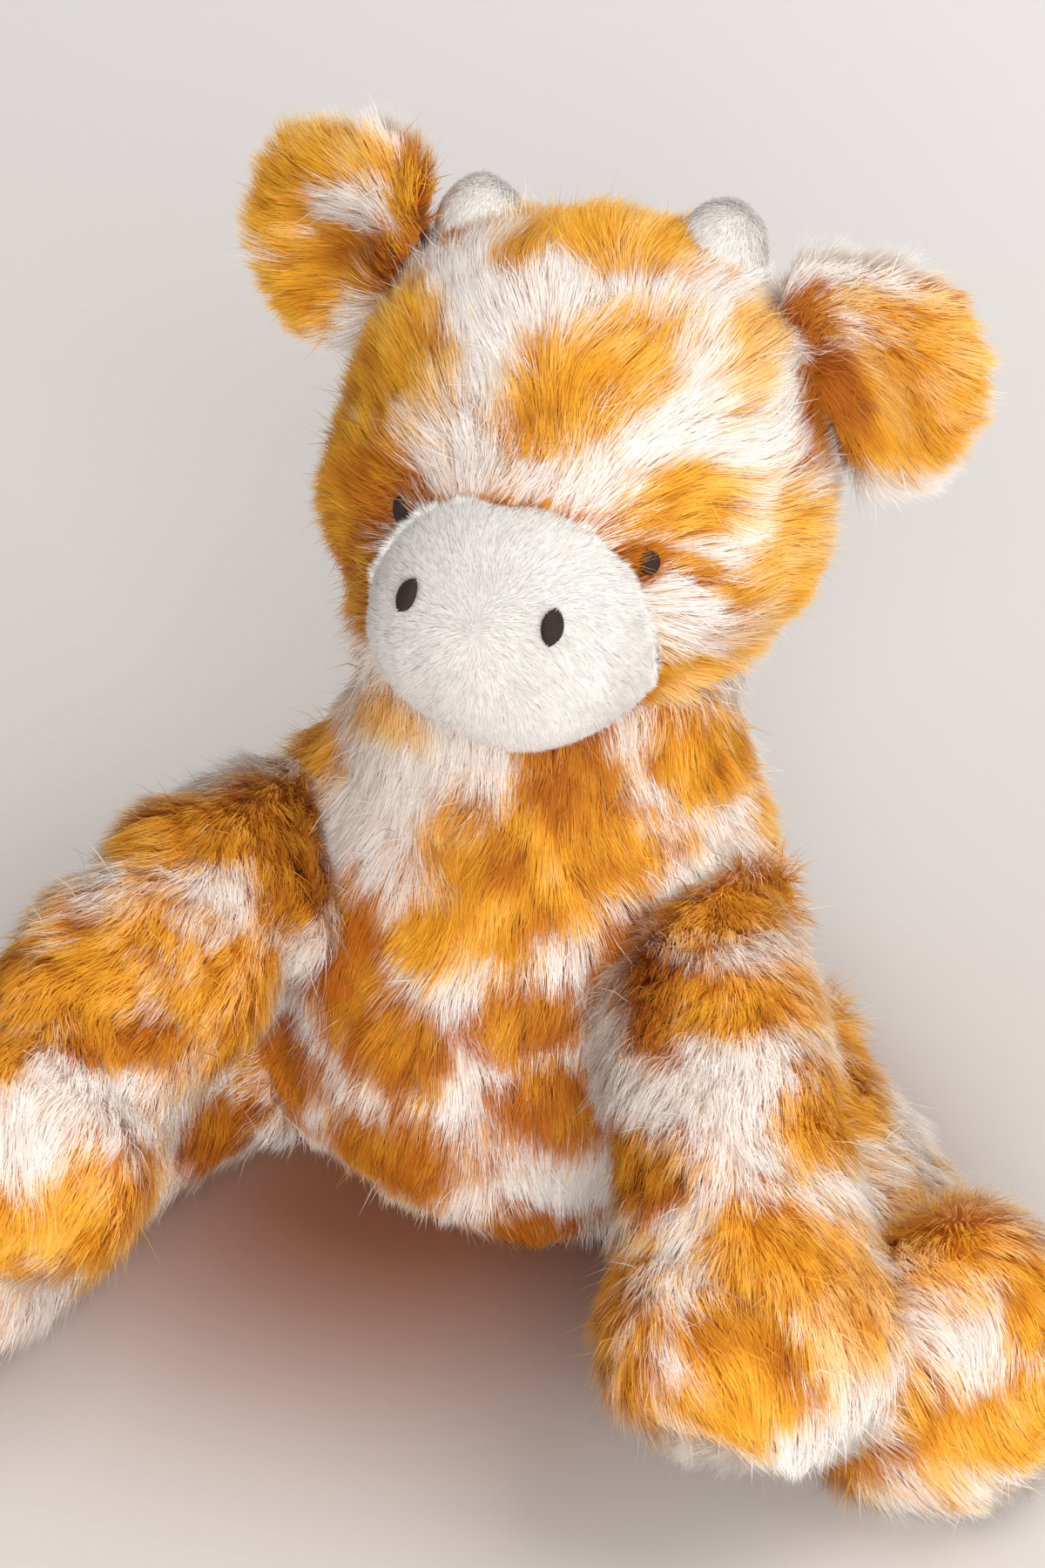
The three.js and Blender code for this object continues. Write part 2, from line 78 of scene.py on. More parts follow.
# Floor and light
# The toy sits on a sweep of pale warm grey paper that bends up into a wall. A wide soft lamp hangs
# above it on the right, and a low one in front lights the toy far more than the floor.
FLOOR_COLOUR = (0.50, 0.465, 0.445)
WALL_COLOUR = (0.70, 0.68, 0.672)
WALL_START = 0.1  # how far back the paper starts to turn from the floor's colour to the wall's
WALL_WHOLE = 0.9
# Painted shadow: round the toy the paper darkens to warm brown, shade tinted by light off its gold.
PAINTED_SHADOW_COLOUR = (0.21, 0.08, 0.042)
PAINTED_SHADOW_MIDDLE = (-0.015, -0.02, 0)  # painted shadow, warmed by the toy's gold, centres here
PAINTED_SHADOW_REACH = 0.16
PAPER_ROUGHNESS = 0.9
PAPER_SPECULAR = 0.1
SWEEP_HALF_WIDTH = 3.0
SWEEP_FRONT = -2.0
SWEEP_BEND = 1.1
SWEEP_RADIUS = 0.7
SWEEP_TOP = 2.2
SWEEP_STEPS = 16
KEY_PLACE = Vector((1.3, 0.2, 2.1))
KEY_SIDE = 1.7
KEY_WATTS = 41
FILL_PLACE = Vector((0.9, -2.0, 0.95))
FILL_SIDE = 1.0
FILL_WATTS = 72
ROOM_COLOUR = (1.0, 0.985, 0.965)
ROOM_STRENGTH = 0.49

profile = [(SWEEP_FRONT, 0)]
for step in range(SWEEP_STEPS + 1):
    turn = math.pi / 2 * step / SWEEP_STEPS
    bend_y = SWEEP_BEND + SWEEP_RADIUS * math.sin(turn)
    profile.append((bend_y, SWEEP_RADIUS * (1 - math.cos(turn))))
profile.append((profile[-1][0], SWEEP_TOP))
corners = [(side * SWEEP_HALF_WIDTH, y, z) for y, z in profile for side in (-1, 1)]
sweep_mesh = bpy.data.meshes.new("sweep")
sweep_faces = [(i, i + 1, i + 3, i + 2) for i in range(0, len(corners) - 2, 2)]
sweep_mesh.from_pydata(corners, [], sweep_faces)
sweep_mesh.shade_smooth()
sweep = bpy.data.objects.new("sweep", sweep_mesh)
bpy.context.scene.collection.objects.link(sweep)


def ramp_of(tree, source, low, high, interpolation="LINEAR"):
    """A socket's value spread from low and high to 0 and 1."""
    ramp = tree.nodes.new("ShaderNodeMapRange")
    ramp.interpolation_type = interpolation
    ramp.inputs["From Min"].default_value = low
    ramp.inputs["From Max"].default_value = high
    tree.links.new(source, ramp.inputs["Value"])
    return ramp.outputs["Result"]


def mixed(tree, share, low, high, blend="MIX"):
    """A Mix Color node between two sockets or colours, and its result."""
    mix = tree.nodes.new("ShaderNodeMix")
    mix.data_type = "RGBA"
    mix.blend_type = blend
    for label, value in (("Factor", share), ("A", low), ("B", high)):
        if isinstance(value, bpy.types.NodeSocket):
            tree.links.new(value, mix.inputs[label])
        elif isinstance(value, tuple):
            mix.inputs[label].default_value = (*value, 1)
        else:
            mix.inputs[label].default_value = value
    return mix.outputs["Result"]


paper = bpy.data.materials.new("sweep paper")
paper.use_nodes = True
paper_tree = paper.node_tree
paper_shader = paper_tree.nodes["Principled BSDF"]
paper_shader.inputs["Roughness"].default_value = PAPER_ROUGHNESS
paper_shader.inputs["Specular IOR Level"].default_value = PAPER_SPECULAR
paper_place = paper_tree.nodes.new("ShaderNodeTexCoord")
paper_axes = paper_tree.nodes.new("ShaderNodeSeparateXYZ")
paper_tree.links.new(paper_place.outputs["Object"], paper_axes.inputs["Vector"])
paper_away = paper_tree.nodes.new("ShaderNodeVectorMath")
paper_away.operation = "DISTANCE"
paper_away.inputs[1].default_value = PAINTED_SHADOW_MIDDLE
paper_tree.links.new(paper_place.outputs["Object"], paper_away.inputs[0])
back_share = ramp_of(paper_tree, paper_axes.outputs["Y"], WALL_START, WALL_WHOLE)
# Painted shadow: the paper's colour turns to it towards the middle under the toy.
painted_shadow_share = ramp_of(paper_tree, paper_away.outputs["Value"], PAINTED_SHADOW_REACH, 0, "SMOOTHERSTEP")
plain_paper = mixed(paper_tree, back_share, FLOOR_COLOUR, WALL_COLOUR)
shadowed_paper = mixed(paper_tree, painted_shadow_share, plain_paper, PAINTED_SHADOW_COLOUR)
paper_tree.links.new(shadowed_paper, paper_shader.inputs["Base Color"])
sweep_mesh.materials.append(paper)


def soft_lamp(name, place, side, watts):
    """A square lamp that points at the middle of the toy."""
    lamp = bpy.data.objects.new(name, bpy.data.lights.new(name, "AREA"))
    lamp.data.size = side
    lamp.data.energy = watts
    lamp.location = place
    lamp.rotation_euler = (place - AIM).to_track_quat("Z", "Y").to_euler()
    bpy.context.scene.collection.objects.link(lamp)


soft_lamp("key lamp", KEY_PLACE, KEY_SIDE, KEY_WATTS)
soft_lamp("fill lamp", FILL_PLACE, FILL_SIDE, FILL_WATTS)
room = bpy.data.worlds.new("room")
bpy.context.scene.world = room
room.use_nodes = True
room.node_tree.nodes["Background"].inputs["Color"].default_value = (*ROOM_COLOUR, 1)
room.node_tree.nodes["Background"].inputs["Strength"].default_value = ROOM_STRENGTH

# Torso
# A pear-shaped stuffed body and neck, of knitted backing with long pile that lies downwards in soft
# locks. Its pattern is dyed in golden patches on cream.
PILE_DEPTH = 0.005  # from the mean height of the pile down to the backing
FORM_CELL = 0.0025
FORM_SMOOTHING = 12
LUMP_WIDTH = 0.03
LUMP_HEIGHT = 0.0008
SEAM_WIDTH = 0.008  # closer to a neighbour than this, the backing is drawn in less
SEAM_SHARE = 0.1  # the least of the pile's depth that it is drawn in by
SEAM_ROUNDS = 5
OPEN_ROOM = 0.03  # further than this, a neighbour makes no difference
WAVE_SPREAD = (0.7, 1.5)  # the lengths of a ripple's waves, as shares of its wavelength


def ripple(points, wavelength, seed, waves=10):
    """A smooth random value for each point, mostly from -1 to 1, that changes over a wavelength."""
    draw = np.random.default_rng(seed)
    ways = draw.normal(size=(waves, 3))
    lengths = np.linalg.norm(ways, axis=1, keepdims=True)
    ways /= lengths * wavelength * draw.uniform(*WAVE_SPREAD, (waves, 1))
    heights = np.sin(2 * np.pi * (points @ ways.T + draw.uniform(size=waves)))
    return heights.sum(1) / math.sqrt(waves)


def points_of(mesh, kind="co"):
    """A mesh's points, or their normals, one row each."""
    values = np.empty(len(mesh.vertices) * 3, np.float32)
    mesh.vertices.foreach_get(kind, values)
    return values.reshape(-1, 3).astype(float)


def tree_of(objects):
    """One search tree over the faces of some objects."""
    corners, faces = [], []
    for o in objects:
        faces += [[len(corners) + i for i in face.vertices] for face in o.data.polygons]
        corners += [v.co for v in o.data.vertices]
    return BVHTree.FromPolygons(corners, faces)


def unit(vectors):
    """Vectors brought to a length of 1."""
    return vectors / np.maximum(np.linalg.norm(vectors, axis=-1, keepdims=True), 1e-9)


def room_over(form, members):
    """How far each point of a form is from the solids of the other pieces, straight out from it."""
    others = [name for name in frame["nodes"] if name not in members and not name.startswith("eye")]
    tree = tree_of([frame["nodes"][name] for name in others])
    hits = [tree.ray_cast(v.co, v.normal, OPEN_ROOM)[3] for v in form.data.vertices]
    return np.array([OPEN_ROOM if hit is None else hit for hit in hits])


def spread(mesh, values, rounds):
    """Values of a mesh's points, each averaged with its neighbours a number of times."""
    ends = np.empty(len(mesh.edges) * 2, np.int32)
    mesh.edges.foreach_get("vertices", ends)
    low, high = ends.reshape(-1, 2).T
    joins = np.bincount(ends, minlength=len(values)) + 1
    for _ in range(rounds):
        total = values + np.bincount(low, values[high], len(values))
        values = (total + np.bincount(high, values[low], len(values))) / joins
    return values


def pulled(points, pulls):
    """Points moved a little in the photograph's plane, where its outline is fuller or leaner.

    One pull a row, in pixels: where it is felt most, its reach, and how far it goes right and up.
    """
    for x, y, reach, right, up in pulls:
        offset = points - np.array(camera.location)
        distance = -(offset @ np.array(toward))
        across = PHOTO_SIZE[0] / 2 + LENS_PIXELS * (offset @ np.array(rightward)) / distance
        above = PHOTO_SIZE[1] / 2 - LENS_PIXELS * (offset @ np.array(upward)) / distance
        share = np.exp(-((across - x) ** 2 + (above - y) ** 2) / (2 * reach**2))
        move = np.array(rightward * right + upward * up)
        points = points + (share * distance / LENS_PIXELS)[:, None] * move
    return points


def stuffed_form(name, members, depth, cell=FORM_CELL, smoothing=FORM_SMOOTHING, pulls=()):
    """A stuffed piece's backing: the smoothed form of its solids, drawn in by the pile's depth.

    Towards a seam, where another piece lies close, it is drawn in less.
    """
    joined = bmesh.new()
    for member in members:
        joined.from_mesh(frame["nodes"][member].data)
    rough = bpy.data.meshes.new(name + " rough")
    joined.to_mesh(rough)
    joined.free()
    form = bpy.data.objects.new(name, rough)
    bpy.context.scene.collection.objects.link(form)
    remesh = form.modifiers.new("remesh", "REMESH")
    remesh.mode = "VOXEL"
    remesh.voxel_size = cell
    smooth = form.modifiers.new("smooth", "SMOOTH")
    smooth.iterations = smoothing
    evaluated = form.evaluated_get(bpy.context.evaluated_depsgraph_get())
    fine = bpy.data.meshes.new_from_object(evaluated)
    form.modifiers.clear()
    form.data = fine
    bpy.data.meshes.remove(rough)
    fine.name = name
    points = points_of(fine)
    open_share = np.clip(room_over(form, members) / SEAM_WIDTH, SEAM_SHARE, 1)
    share = spread(fine, open_share, SEAM_ROUNDS)
    drawn_in = (depth + LUMP_HEIGHT * ripple(points, LUMP_WIDTH, len(points))) * share
    points = pulled(points - points_of(fine, "normal") * drawn_in[:, None], pulls)
    points[:, 2] = np.maximum(points[:, 2], 0)
    fine.vertices.foreach_set("co", points.ravel())
    fine.update()
    fine.shade_smooth()
    return form


# One patch a row: the photograph's x and y of its middle, its half width and half height in pixels,
# the degrees that it leans to the left, and its colour from pale (-1) over gold (0) to rust (1).
# That colour is partly dye. Rust is also raised as painted shade where shade falls, and pale stands
# in as painted light on some places that the lamp lights.
TORSO_PATCHES = [
    (355, 838, 44, 62, 0, 0.1),
    # the throat under the head: its rust is partly painted shade
    (655, 893, 88, 56, 0, 0.9),
    (800, 868, 98, 50, 5, 0.15),
    (878, 960, 38, 74, 0, -0.3),
    (625, 990, 160, 98, 22, 0.35),
    (510, 1072, 74, 52, 20, 0.0),
    (450, 825, 60, 26, -20, -0.9),
    # from here down, the belly and the sides by the limbs: high rust here is partly painted shade
    (615, 1170, 90, 44, 5, 0.75),
    (400, 1105, 62, 106, 8, 0.85),
    (455, 1195, 60, 74, 30, 0.7),
    (330, 1225, 58, 54, 0, 1.0),
    (455, 1318, 100, 50, -8, 0.8),
    (470, 1385, 56, 22, -20, 0.7),
    (610, 1402, 84, 36, 0, 1.0),
    (650, 1262, 88, 60, 20, 0.9),
    (725, 1130, 60, 112, 0, 1.0),
]
TORSO_PULLS = [(365, 840, 40, -34, 12), (600, 1400, 70, 0, -14)]


def photo_ray(x, y):
    """The direction from the camera through a pixel of the photograph."""
    across = (x - PHOTO_SIZE[0] / 2) / LENS_PIXELS
    above = (PHOTO_SIZE[1] / 2 - y) / LENS_PIXELS
    return (rightward * across + upward * above - toward).normalized()


def spots_on(form, patches):
    """Each patch's middle on a form, two vectors that measure from it in its sizes, and its dye."""
    tree = tree_of([form])
    middle = sum((v.co for v in form.data.vertices), Vector()) / len(form.data.vertices)
    spots = []
    for x, y, half_width, half_height, lean, rust_and_shade in patches:
        ray = photo_ray(x, y)
        place = tree.ray_cast(camera.location, ray)[0]
        if place is None:
            reach = (middle - camera.location).dot(ray)
            place = tree.find_nearest(camera.location + ray * reach)[0]
        scale = (place - camera.location).length / LENS_PIXELS
        turn = math.radians(lean)
        across = rightward * math.cos(turn) + upward * math.sin(turn)
        along = upward * math.cos(turn) - rightward * math.sin(turn)
        spots.append((place, across / (half_width * scale), along / (half_height * scale), rust_and_shade))
    return spots


HIDDEN_BELOW = -0.05  # a point whose normal leans this far from the camera is on the hidden side
BEHIND_SPACING = 1.75  # between the middles of the patches there, in their own sizes
BEHIND_SIZES = (0.85, 1.2)
BEHIND_RUST = (-0.3, 0.5)


def spots_behind(form, spots, radius, seed):
    """Patches for the side that doesn't show, spread evenly between those already there."""
    draw = np.random.default_rng(seed)
    mesh = form.data
    taken = [place for place, _, _, _ in spots]
    behind = []
    for i in draw.permutation(len(mesh.vertices)):
        place = mesh.vertices[int(i)].co.copy()
        out = mesh.vertices[int(i)].normal
        hidden = out.dot(toward) < HIDDEN_BELOW
        if hidden and all((place - other).length > radius * BEHIND_SPACING for other in taken):
            taken.append(place)
            across = out.cross(Vector((0, 0, 1))).normalized()
            along = out.cross(across)
            wide, tall = draw.uniform(*BEHIND_SIZES, 2) * radius
            behind.append((place, across / wide, along / tall, draw.uniform(*BEHIND_RUST)))
    return behind


DYE_EDGE = 0.3  # how wide the change from cream to gold is, in sizes of the patch
EDGE_WAVES = ((0.14, 0.02, 3), (0.12, 0.007, 4))  # how the edge wanders: share, wavelength, seed
RUST_WAVES = (0.25, 0.012, 5)
RUST_AND_SHADE_REACH = 1.4  # how far a patch's rust and painted shade are felt, in sizes of the patch
PATCH_THICKNESS = 1.1  # how deep a patch goes into the form, in its own sizes
PATCH_FACING = 1.5  # how much deeper where the form faces the camera
FACING_SLOPE = 1.7
FAR_OUTSIDE = 9.0  # for a point that no patch is near


def dye(points, normals, spots, jitter):
    """How deep each point lies in a patch, below zero outside it, and its rust and painted shade.
    """
    facing = np.clip(normals @ np.array(toward) * FACING_SLOPE + 0.5, 0, 1)
    edge = sum(share * ripple(points, wavelength, seed) for share, wavelength, seed in EDGE_WAVES)
    nearest = np.full(len(points), FAR_OUTSIDE)
    rust_and_shade, weight = np.zeros(len(points)), np.full(len(points), 1e-6)
    for place, across, along, spot_rust_and_shade in spots:
        offset = points - np.array(place)
        deep = np.array(across.cross(along)).reshape(3)
        deep = deep / np.linalg.norm(deep) * math.sqrt(across.length * along.length)
        away = np.sqrt(
            (offset @ np.array(across)) ** 2
            + (offset @ np.array(along)) ** 2
            + (offset @ deep / (PATCH_THICKNESS + PATCH_FACING * facing)) ** 2
        )
        share = np.clip(RUST_AND_SHADE_REACH - away, 0, 1) ** 2
        rust_and_shade += share * spot_rust_and_shade
        weight += share
        nearest = np.minimum(nearest, away)
    share, wavelength, seed = RUST_WAVES
    return 1 - nearest + (edge + jitter), rust_and_shade / weight + share * ripple(points, wavelength, seed)


def gold_of(depth):
    """How golden a strand is at some depth in a patch, from 0, cream, to 1."""
    return np.clip(depth / DYE_EDGE + 0.5, 0, 1)


STRAY_SHARE = 0.05  # a few strands stray: they are looser and longer
STRAY_LOOSENESS = 0.45
STRAY_LENGTH = 1.15
LOOSENESS = 0.14  # how far each strand turns from the nap by chance
ROOT_LOOSENESS = 0.6  # how much of that its root has
ROOT_SLANT = 0.45  # how far a strand leans along the nap from its root
TIP_STAND = 0.35  # how much of its stand is left towards the tip
TIP_DROOP = np.array([0, 0, -0.12])
SWIRL_WIDTH = 0.025
SWIRL_SEEDS = (11, 12, 13)
LENGTH_SPREAD = (0.75, 1.05)
LENGTH_WAVES = (0.1, 0.012, 21)
SPARE_ROOM = 0.002  # how far the pile may go into a neighbour
SHORTEST_SHARE = 0.3
LOCK_STRANDS = 40
LOCK_PULLS = (0.6, 1.4)
KNEE_PULL = 0.5
TIP_DROP = 0.1  # how much lower the edge of a lock lies, as a share of a strand's length
KNEE_DROP = 0.07
OWN_TINT = 0.4  # brighter by chance and with its lock; painted shade darkens a lock's edges
LOCK_TINT = 0.4
LOCK_EDGE_SHADE = 0.3
MEAN_TINT = 0.6
DYED_AT = (0.35, 0.4, 0.25)  # a strand takes its dye from between its knee, tip and root
DYE_JITTER = 0.15
ROOT_DYE = 0.2  # how much further a patch reaches at the roots than at the tips
TIP_DYE = 0.04  # how much less far at the tips
DULL_RUST_AND_SHADE = 0.9  # rustier dull strands than bright ones; at lock edges this is painted shade
DYE_STEPS = 4  # strands are sorted by so many steps of dye, to bake like ones side by side
KNEE = 0.55  # how far up a strand its second pair of points stands
ROLL = 0.35
WIDTH_SPREAD = (0.7, 1.3)
TAPER = np.array([1, 0.85, 0])  # a strand's width at its root, knee and tip
FLOOR_GAP = 0.0003  # strands stop at least this far over the floor, and some a little higher
FLOOR_SPREAD = 0.0008
ROUNDNESS = 0.3
SKY_LIFT = np.array([0, 0, 0.45])  # strands pass light on from above, so their shading leans up
REACH = np.array([0, 0, KNEE, KNEE, 1.0])  # of a strand's five points
FACE_POINTS = np.array([0, 1, 3, 2, 2, 3, 4])  # a four-sided face and a three-sided tip
BAKE_PLACES = np.array([[0.2, 0.1], [0.8, 0.1], [0.2, 0.55], [0.8, 0.55], [0.5, 0.95]])


def set_values(mesh, values_by_name):
    """Gives each point of a mesh some named values, which its material reads."""
    for label, values in values_by_name.items():
        attribute = mesh.attributes.new(label, "FLOAT", "POINT")
        attribute.data.foreach_set("value", values.astype(np.float32).ravel())


def strand_piece(name, points, shading, values_by_name):
    """A piece of flat strands of five points, each with its own cell in the baked picture."""
    count = len(points)
    numbers = np.arange(count)[:, None]
    pile = bpy.data.meshes.new(name)
    pile.vertices.add(count * 5)
    pile.vertices.foreach_set("co", points.astype(np.float32).ravel())
    pile.loops.add(count * 7)
    pile.loops.foreach_set("vertex_index", (FACE_POINTS + 5 * numbers).astype(np.int32).ravel())
    pile.polygons.add(count * 2)
    starts = np.array([0, 4]) + 7 * numbers
    pile.polygons.foreach_set("loop_start", starts.astype(np.int32).ravel())
    pile.update(calc_edges=True)
    cells = math.ceil(math.sqrt(count))
    cell = np.stack([np.arange(count) % cells, np.arange(count) // cells], 1)[:, None]
    bake_places = ((cell + BAKE_PLACES[FACE_POINTS]) / cells).astype(np.float32)
    pile.uv_layers.new(name="OFBake").data.foreach_set("uv", bake_places.ravel())
    set_values(pile, values_by_name)
    pile.normals_split_custom_set_from_vertices(shading.reshape(-1, 3).tolist())
    piece = bpy.data.objects.new(name, pile)
    bpy.context.scene.collection.objects.link(piece)
    return piece


def grow_pile(
    name, form, members, spots, nap, *, density, length, width,
    swirl=0.35, stand=0.62, clump=0.32, need=0.0015, clip=None, pick=None,
):
    """A piece of pile: flat tapered strands on a form, combed along the nap and drawn into locks.

    Strands that have less room than they need, straight out to the neighbours, aren't grown.
    """
    mesh = form.data
    draw = np.random.default_rng(sum(map(ord, name)))
    points, outward = points_of(mesh), points_of(mesh, "normal")
    mesh.calc_loop_triangles()
    triangles = np.empty(len(mesh.loop_triangles) * 3, np.int32)
    mesh.loop_triangles.foreach_get("vertices", triangles)
    triangles = triangles.reshape(-1, 3)
    a, b, c = (points[triangles[:, i]] for i in range(3))
    areas = np.linalg.norm(np.cross(b - a, c - a), axis=1) / 2
    count = int(areas.sum() * density)
    chosen = triangles[draw.choice(len(triangles), count, p=areas / areas.sum())]
    shares = np.sort(draw.uniform(size=(count, 2)), axis=1)
    shares = np.stack([shares[:, 0], shares[:, 1] - shares[:, 0], 1 - shares[:, 1]], 1)[..., None]
    root = (points[chosen] * shares).sum(1)
    facing = unit((outward[chosen] * shares).sum(1))
    room = (room_over(form, members)[chosen] * shares[..., 0]).sum(1)
    kept = room > need
    if pick is not None:
        kept &= pick(root, facing)
    root, facing, room = root[kept], facing[kept], room[kept]
    count = len(root)

    # Each strand leaves its root at a slant and bends over along the nap. A few stray from it.
    stray = (draw.uniform(size=count) < STRAY_SHARE)[:, None]
    loose = np.where(stray, STRAY_LOOSENESS, LOOSENESS)
    swirls = np.stack([ripple(root, SWIRL_WIDTH, seed) for seed in SWIRL_SEEDS], 1)
    flow = unit(nap(root, facing)) + swirl * swirls
    flow = unit(flow - facing * (flow * facing).sum(1, keepdims=True))
    flow = unit(flow + loose * draw.normal(size=(count, 3)))
    astray = loose * ROOT_LOOSENESS * draw.normal(size=(count, 3))
    first = unit(facing * stand + ROOT_SLANT * flow + astray)
    last = unit(facing * TIP_STAND * stand + flow + TIP_DROOP)
    wave_share, wavelength, wave_seed = LENGTH_WAVES
    long = length * draw.uniform(*LENGTH_SPREAD, count)
    long = long * (1 + wave_share * ripple(root, wavelength, wave_seed))
    long = long * np.where(stray[:, 0], STRAY_LENGTH, 1)
    long = long * np.clip((room + SPARE_ROOM) / length, SHORTEST_SHARE, 1)
    if clip is not None:
        long = long * clip(root)
    knee = root + first * (long / 2)[:, None]
    tip = knee + last * (long / 2)[:, None]

    # A lock is the strands nearest one of them. Their tips draw together, and its edges lie lower.
    locks = draw.choice(count, max(1, count // LOCK_STRANDS), replace=False)
    tree = KDTree(len(locks))
    for i, place in enumerate(root[locks]):
        tree.insert(place, i)
    tree.balance()
    found = [tree.find(place)[1:] for place in root]
    lock = locks[[index for index, _ in found]]
    apart = np.array([distance for _, distance in found])
    apart = np.clip(apart / math.sqrt(LOCK_STRANDS / density), 0, 1)
    pull = np.where(stray, 0, clump * draw.uniform(*LOCK_PULLS, (count, 1)))
    tip = tip + (tip[lock] - tip) * pull - facing * (TIP_DROP * apart * long)[:, None]
    knee = knee + (knee[lock] - knee) * pull * KNEE_PULL
    knee = knee - facing * (KNEE_DROP * apart * long)[:, None]
    # Painted shade: the tint falls towards a lock's edge, so strands there are duller and rustier.
    tint = OWN_TINT * draw.uniform(size=count) + LOCK_TINT * draw.uniform(size=count)[lock]
    tint = tint + LOCK_EDGE_SHADE * (1 - apart)
    by_knee, by_tip, by_root = DYED_AT
    dyed_at = by_knee * knee + by_tip * tip + by_root * root
    depth, rust_and_shade = dye(dyed_at, facing, spots, DYE_JITTER * draw.normal(size=count))
    rust_and_shade = rust_and_shade + DULL_RUST_AND_SHADE * (MEAN_TINT - tint)
    order = np.lexsort((root[:, 2], np.round(gold_of(depth) * DYE_STEPS)))
    data = (part[order] for part in (root, knee, tip, facing, depth, rust_and_shade, tint))
    root, knee, tip, facing, depth, rust_and_shade, tint = data

    # A strand is a narrow band along the curve from root to tip. It tapers and is rolled a little.
    stage = np.array([0, KNEE, 1.0])[None, :, None]
    line = (1 - stage) ** 2 * root[:, None] + 2 * stage * (1 - stage) * knee[:, None]
    line = line + stage**2 * tip[:, None]
    run = unit((1 - stage) * (knee - root)[:, None] + stage * (tip - knee)[:, None])
    across = unit(np.cross(run, facing[:, None]))
    front = np.cross(across, run)
    roll = draw.normal(0, ROLL, (count, 1, 1))
    rolled = across * np.cos(roll) + front * np.sin(roll)
    front = front * np.cos(roll) - across * np.sin(roll)
    half = width / 2 * draw.uniform(*WIDTH_SPREAD, (count, 1, 1)) * TAPER[None, :, None]
    band = np.stack([line - rolled * half, line + rolled * half], 2).reshape(count, 6, 3)[:, :5]
    lowest = FLOOR_GAP + FLOOR_SPREAD * draw.uniform(size=(count, 1))
    band[..., 2] = np.maximum(band[..., 2], lowest)
    shading = np.repeat(unit(facing[:, None] + ROUNDNESS * front + SKY_LIFT), 2, axis=1)[:, :5]
    values_by_name = {
        "gold": gold_of(depth[:, None] + ROOT_DYE * (1 - REACH) - TIP_DYE),
        "rust_and_shade": np.repeat(rust_and_shade, 5),
        "reach": np.tile(REACH, count),
        "tint": np.repeat(tint, 5),
    }
    return strand_piece(name, band, shading, values_by_name)


BACKING_TINT = 0.3


def dye_form(form, spots, reach=0.15):
    """The same pattern on the backing under the pile, as dark as a strand at some reach: painted
    shade in part.
    """
    mesh = form.data
    depth, rust_and_shade = dye(points_of(mesh), points_of(mesh, "normal"), spots, 0)
    flat = np.ones(len(depth))
    values_by_name = {
        "gold": gold_of(depth), "rust_and_shade": rust_and_shade, "reach": flat * reach, "tint": flat * BACKING_TINT,
    }
    set_values(mesh, values_by_name)


def shader_group(name, inputs, outputs):
    """An empty shader node group with named sockets, its input node and its output node."""
    group = bpy.data.node_groups.new(name, "ShaderNodeTree")
    for label, kind, value in inputs:
        socket = group.interface.new_socket(label, in_out="INPUT", socket_type=kind)
        socket.default_value = value
    for label, kind in outputs:
        group.interface.new_socket(label, in_out="OUTPUT", socket_type=kind)
    return group, group.nodes.new("NodeGroupInput"), group.nodes.new("NodeGroupOutput")


# The colour of a strand at its root and its tip: cream, or in a patch pale, golden or rusty.
# Towards the root it is darker, partly as painted shade deep in the pile; rusty is partly painted
# shade and pale partly painted light. Soft clouds and the strand's own tint darken it a little; the
# tint is lower, as painted shade, towards the edges of a lock.
CREAM_ROOT = (0.93, 0.80, 0.70)
CREAM_TIP = (0.955, 0.945, 0.93)
PALE_ROOT = (0.92, 0.55, 0.18)
PALE_TIP = (0.98, 0.80, 0.46)
GOLD_ROOT = (0.80, 0.30, 0.012)
GOLD_TIP = (0.98, 0.60, 0.045)
RUST_AND_SHADE_ROOT = (0.36, 0.07, 0.005)
RUST_AND_SHADE_TIP = (0.66, 0.22, 0.012)
ROOT_TO_TIP = (0.05, 0.85)
CLOUD_SCALE = 90
CLOUD_RANGE = (0.35, 0.75)
CLOUD_SHADE = (0.94, 0.93, 0.92)
WHITE = (1.0, 1.0, 1.0)
DULL_STRAND = (0.88, 0.85, 0.82)
BRIGHT_STRAND = (1.03, 1.03, 1.03)
STRAND_SOCKETS = [(label, "NodeSocketFloat", 0.0) for label in ("Gold", "Rust_and_shade", "Reach", "Tint")]
DYE_SOCKETS = [("Color", "NodeSocketColor")]
strand_colour_and_shade, dye_in, dye_out = shader_group("strand colour and painted shade", STRAND_SOCKETS, DYE_SOCKETS)
up_the_strand = ramp_of(strand_colour_and_shade, dye_in.outputs["Reach"], *ROOT_TO_TIP)
cream = mixed(strand_colour_and_shade, up_the_strand, CREAM_ROOT, CREAM_TIP)
pale = mixed(strand_colour_and_shade, up_the_strand, PALE_ROOT, PALE_TIP)
golden = mixed(strand_colour_and_shade, up_the_strand, GOLD_ROOT, GOLD_TIP)
rusty_and_shaded = mixed(strand_colour_and_shade, up_the_strand, RUST_AND_SHADE_ROOT, RUST_AND_SHADE_TIP)
pale_to_gold = ramp_of(strand_colour_and_shade, dye_in.outputs["Rust_and_shade"], -1, 0)
gold_to_rust_and_shade = ramp_of(strand_colour_and_shade, dye_in.outputs["Rust_and_shade"], 0, 1)
fair_patch = mixed(strand_colour_and_shade, pale_to_gold, pale, golden)
in_a_patch = mixed(strand_colour_and_shade, gold_to_rust_and_shade, fair_patch, rusty_and_shaded)
dyed_and_shaded_strand = mixed(strand_colour_and_shade, dye_in.outputs["Gold"], cream, in_a_patch)
cloud = strand_colour_and_shade.nodes.new("ShaderNodeTexNoise")
cloud.inputs["Scale"].default_value = CLOUD_SCALE
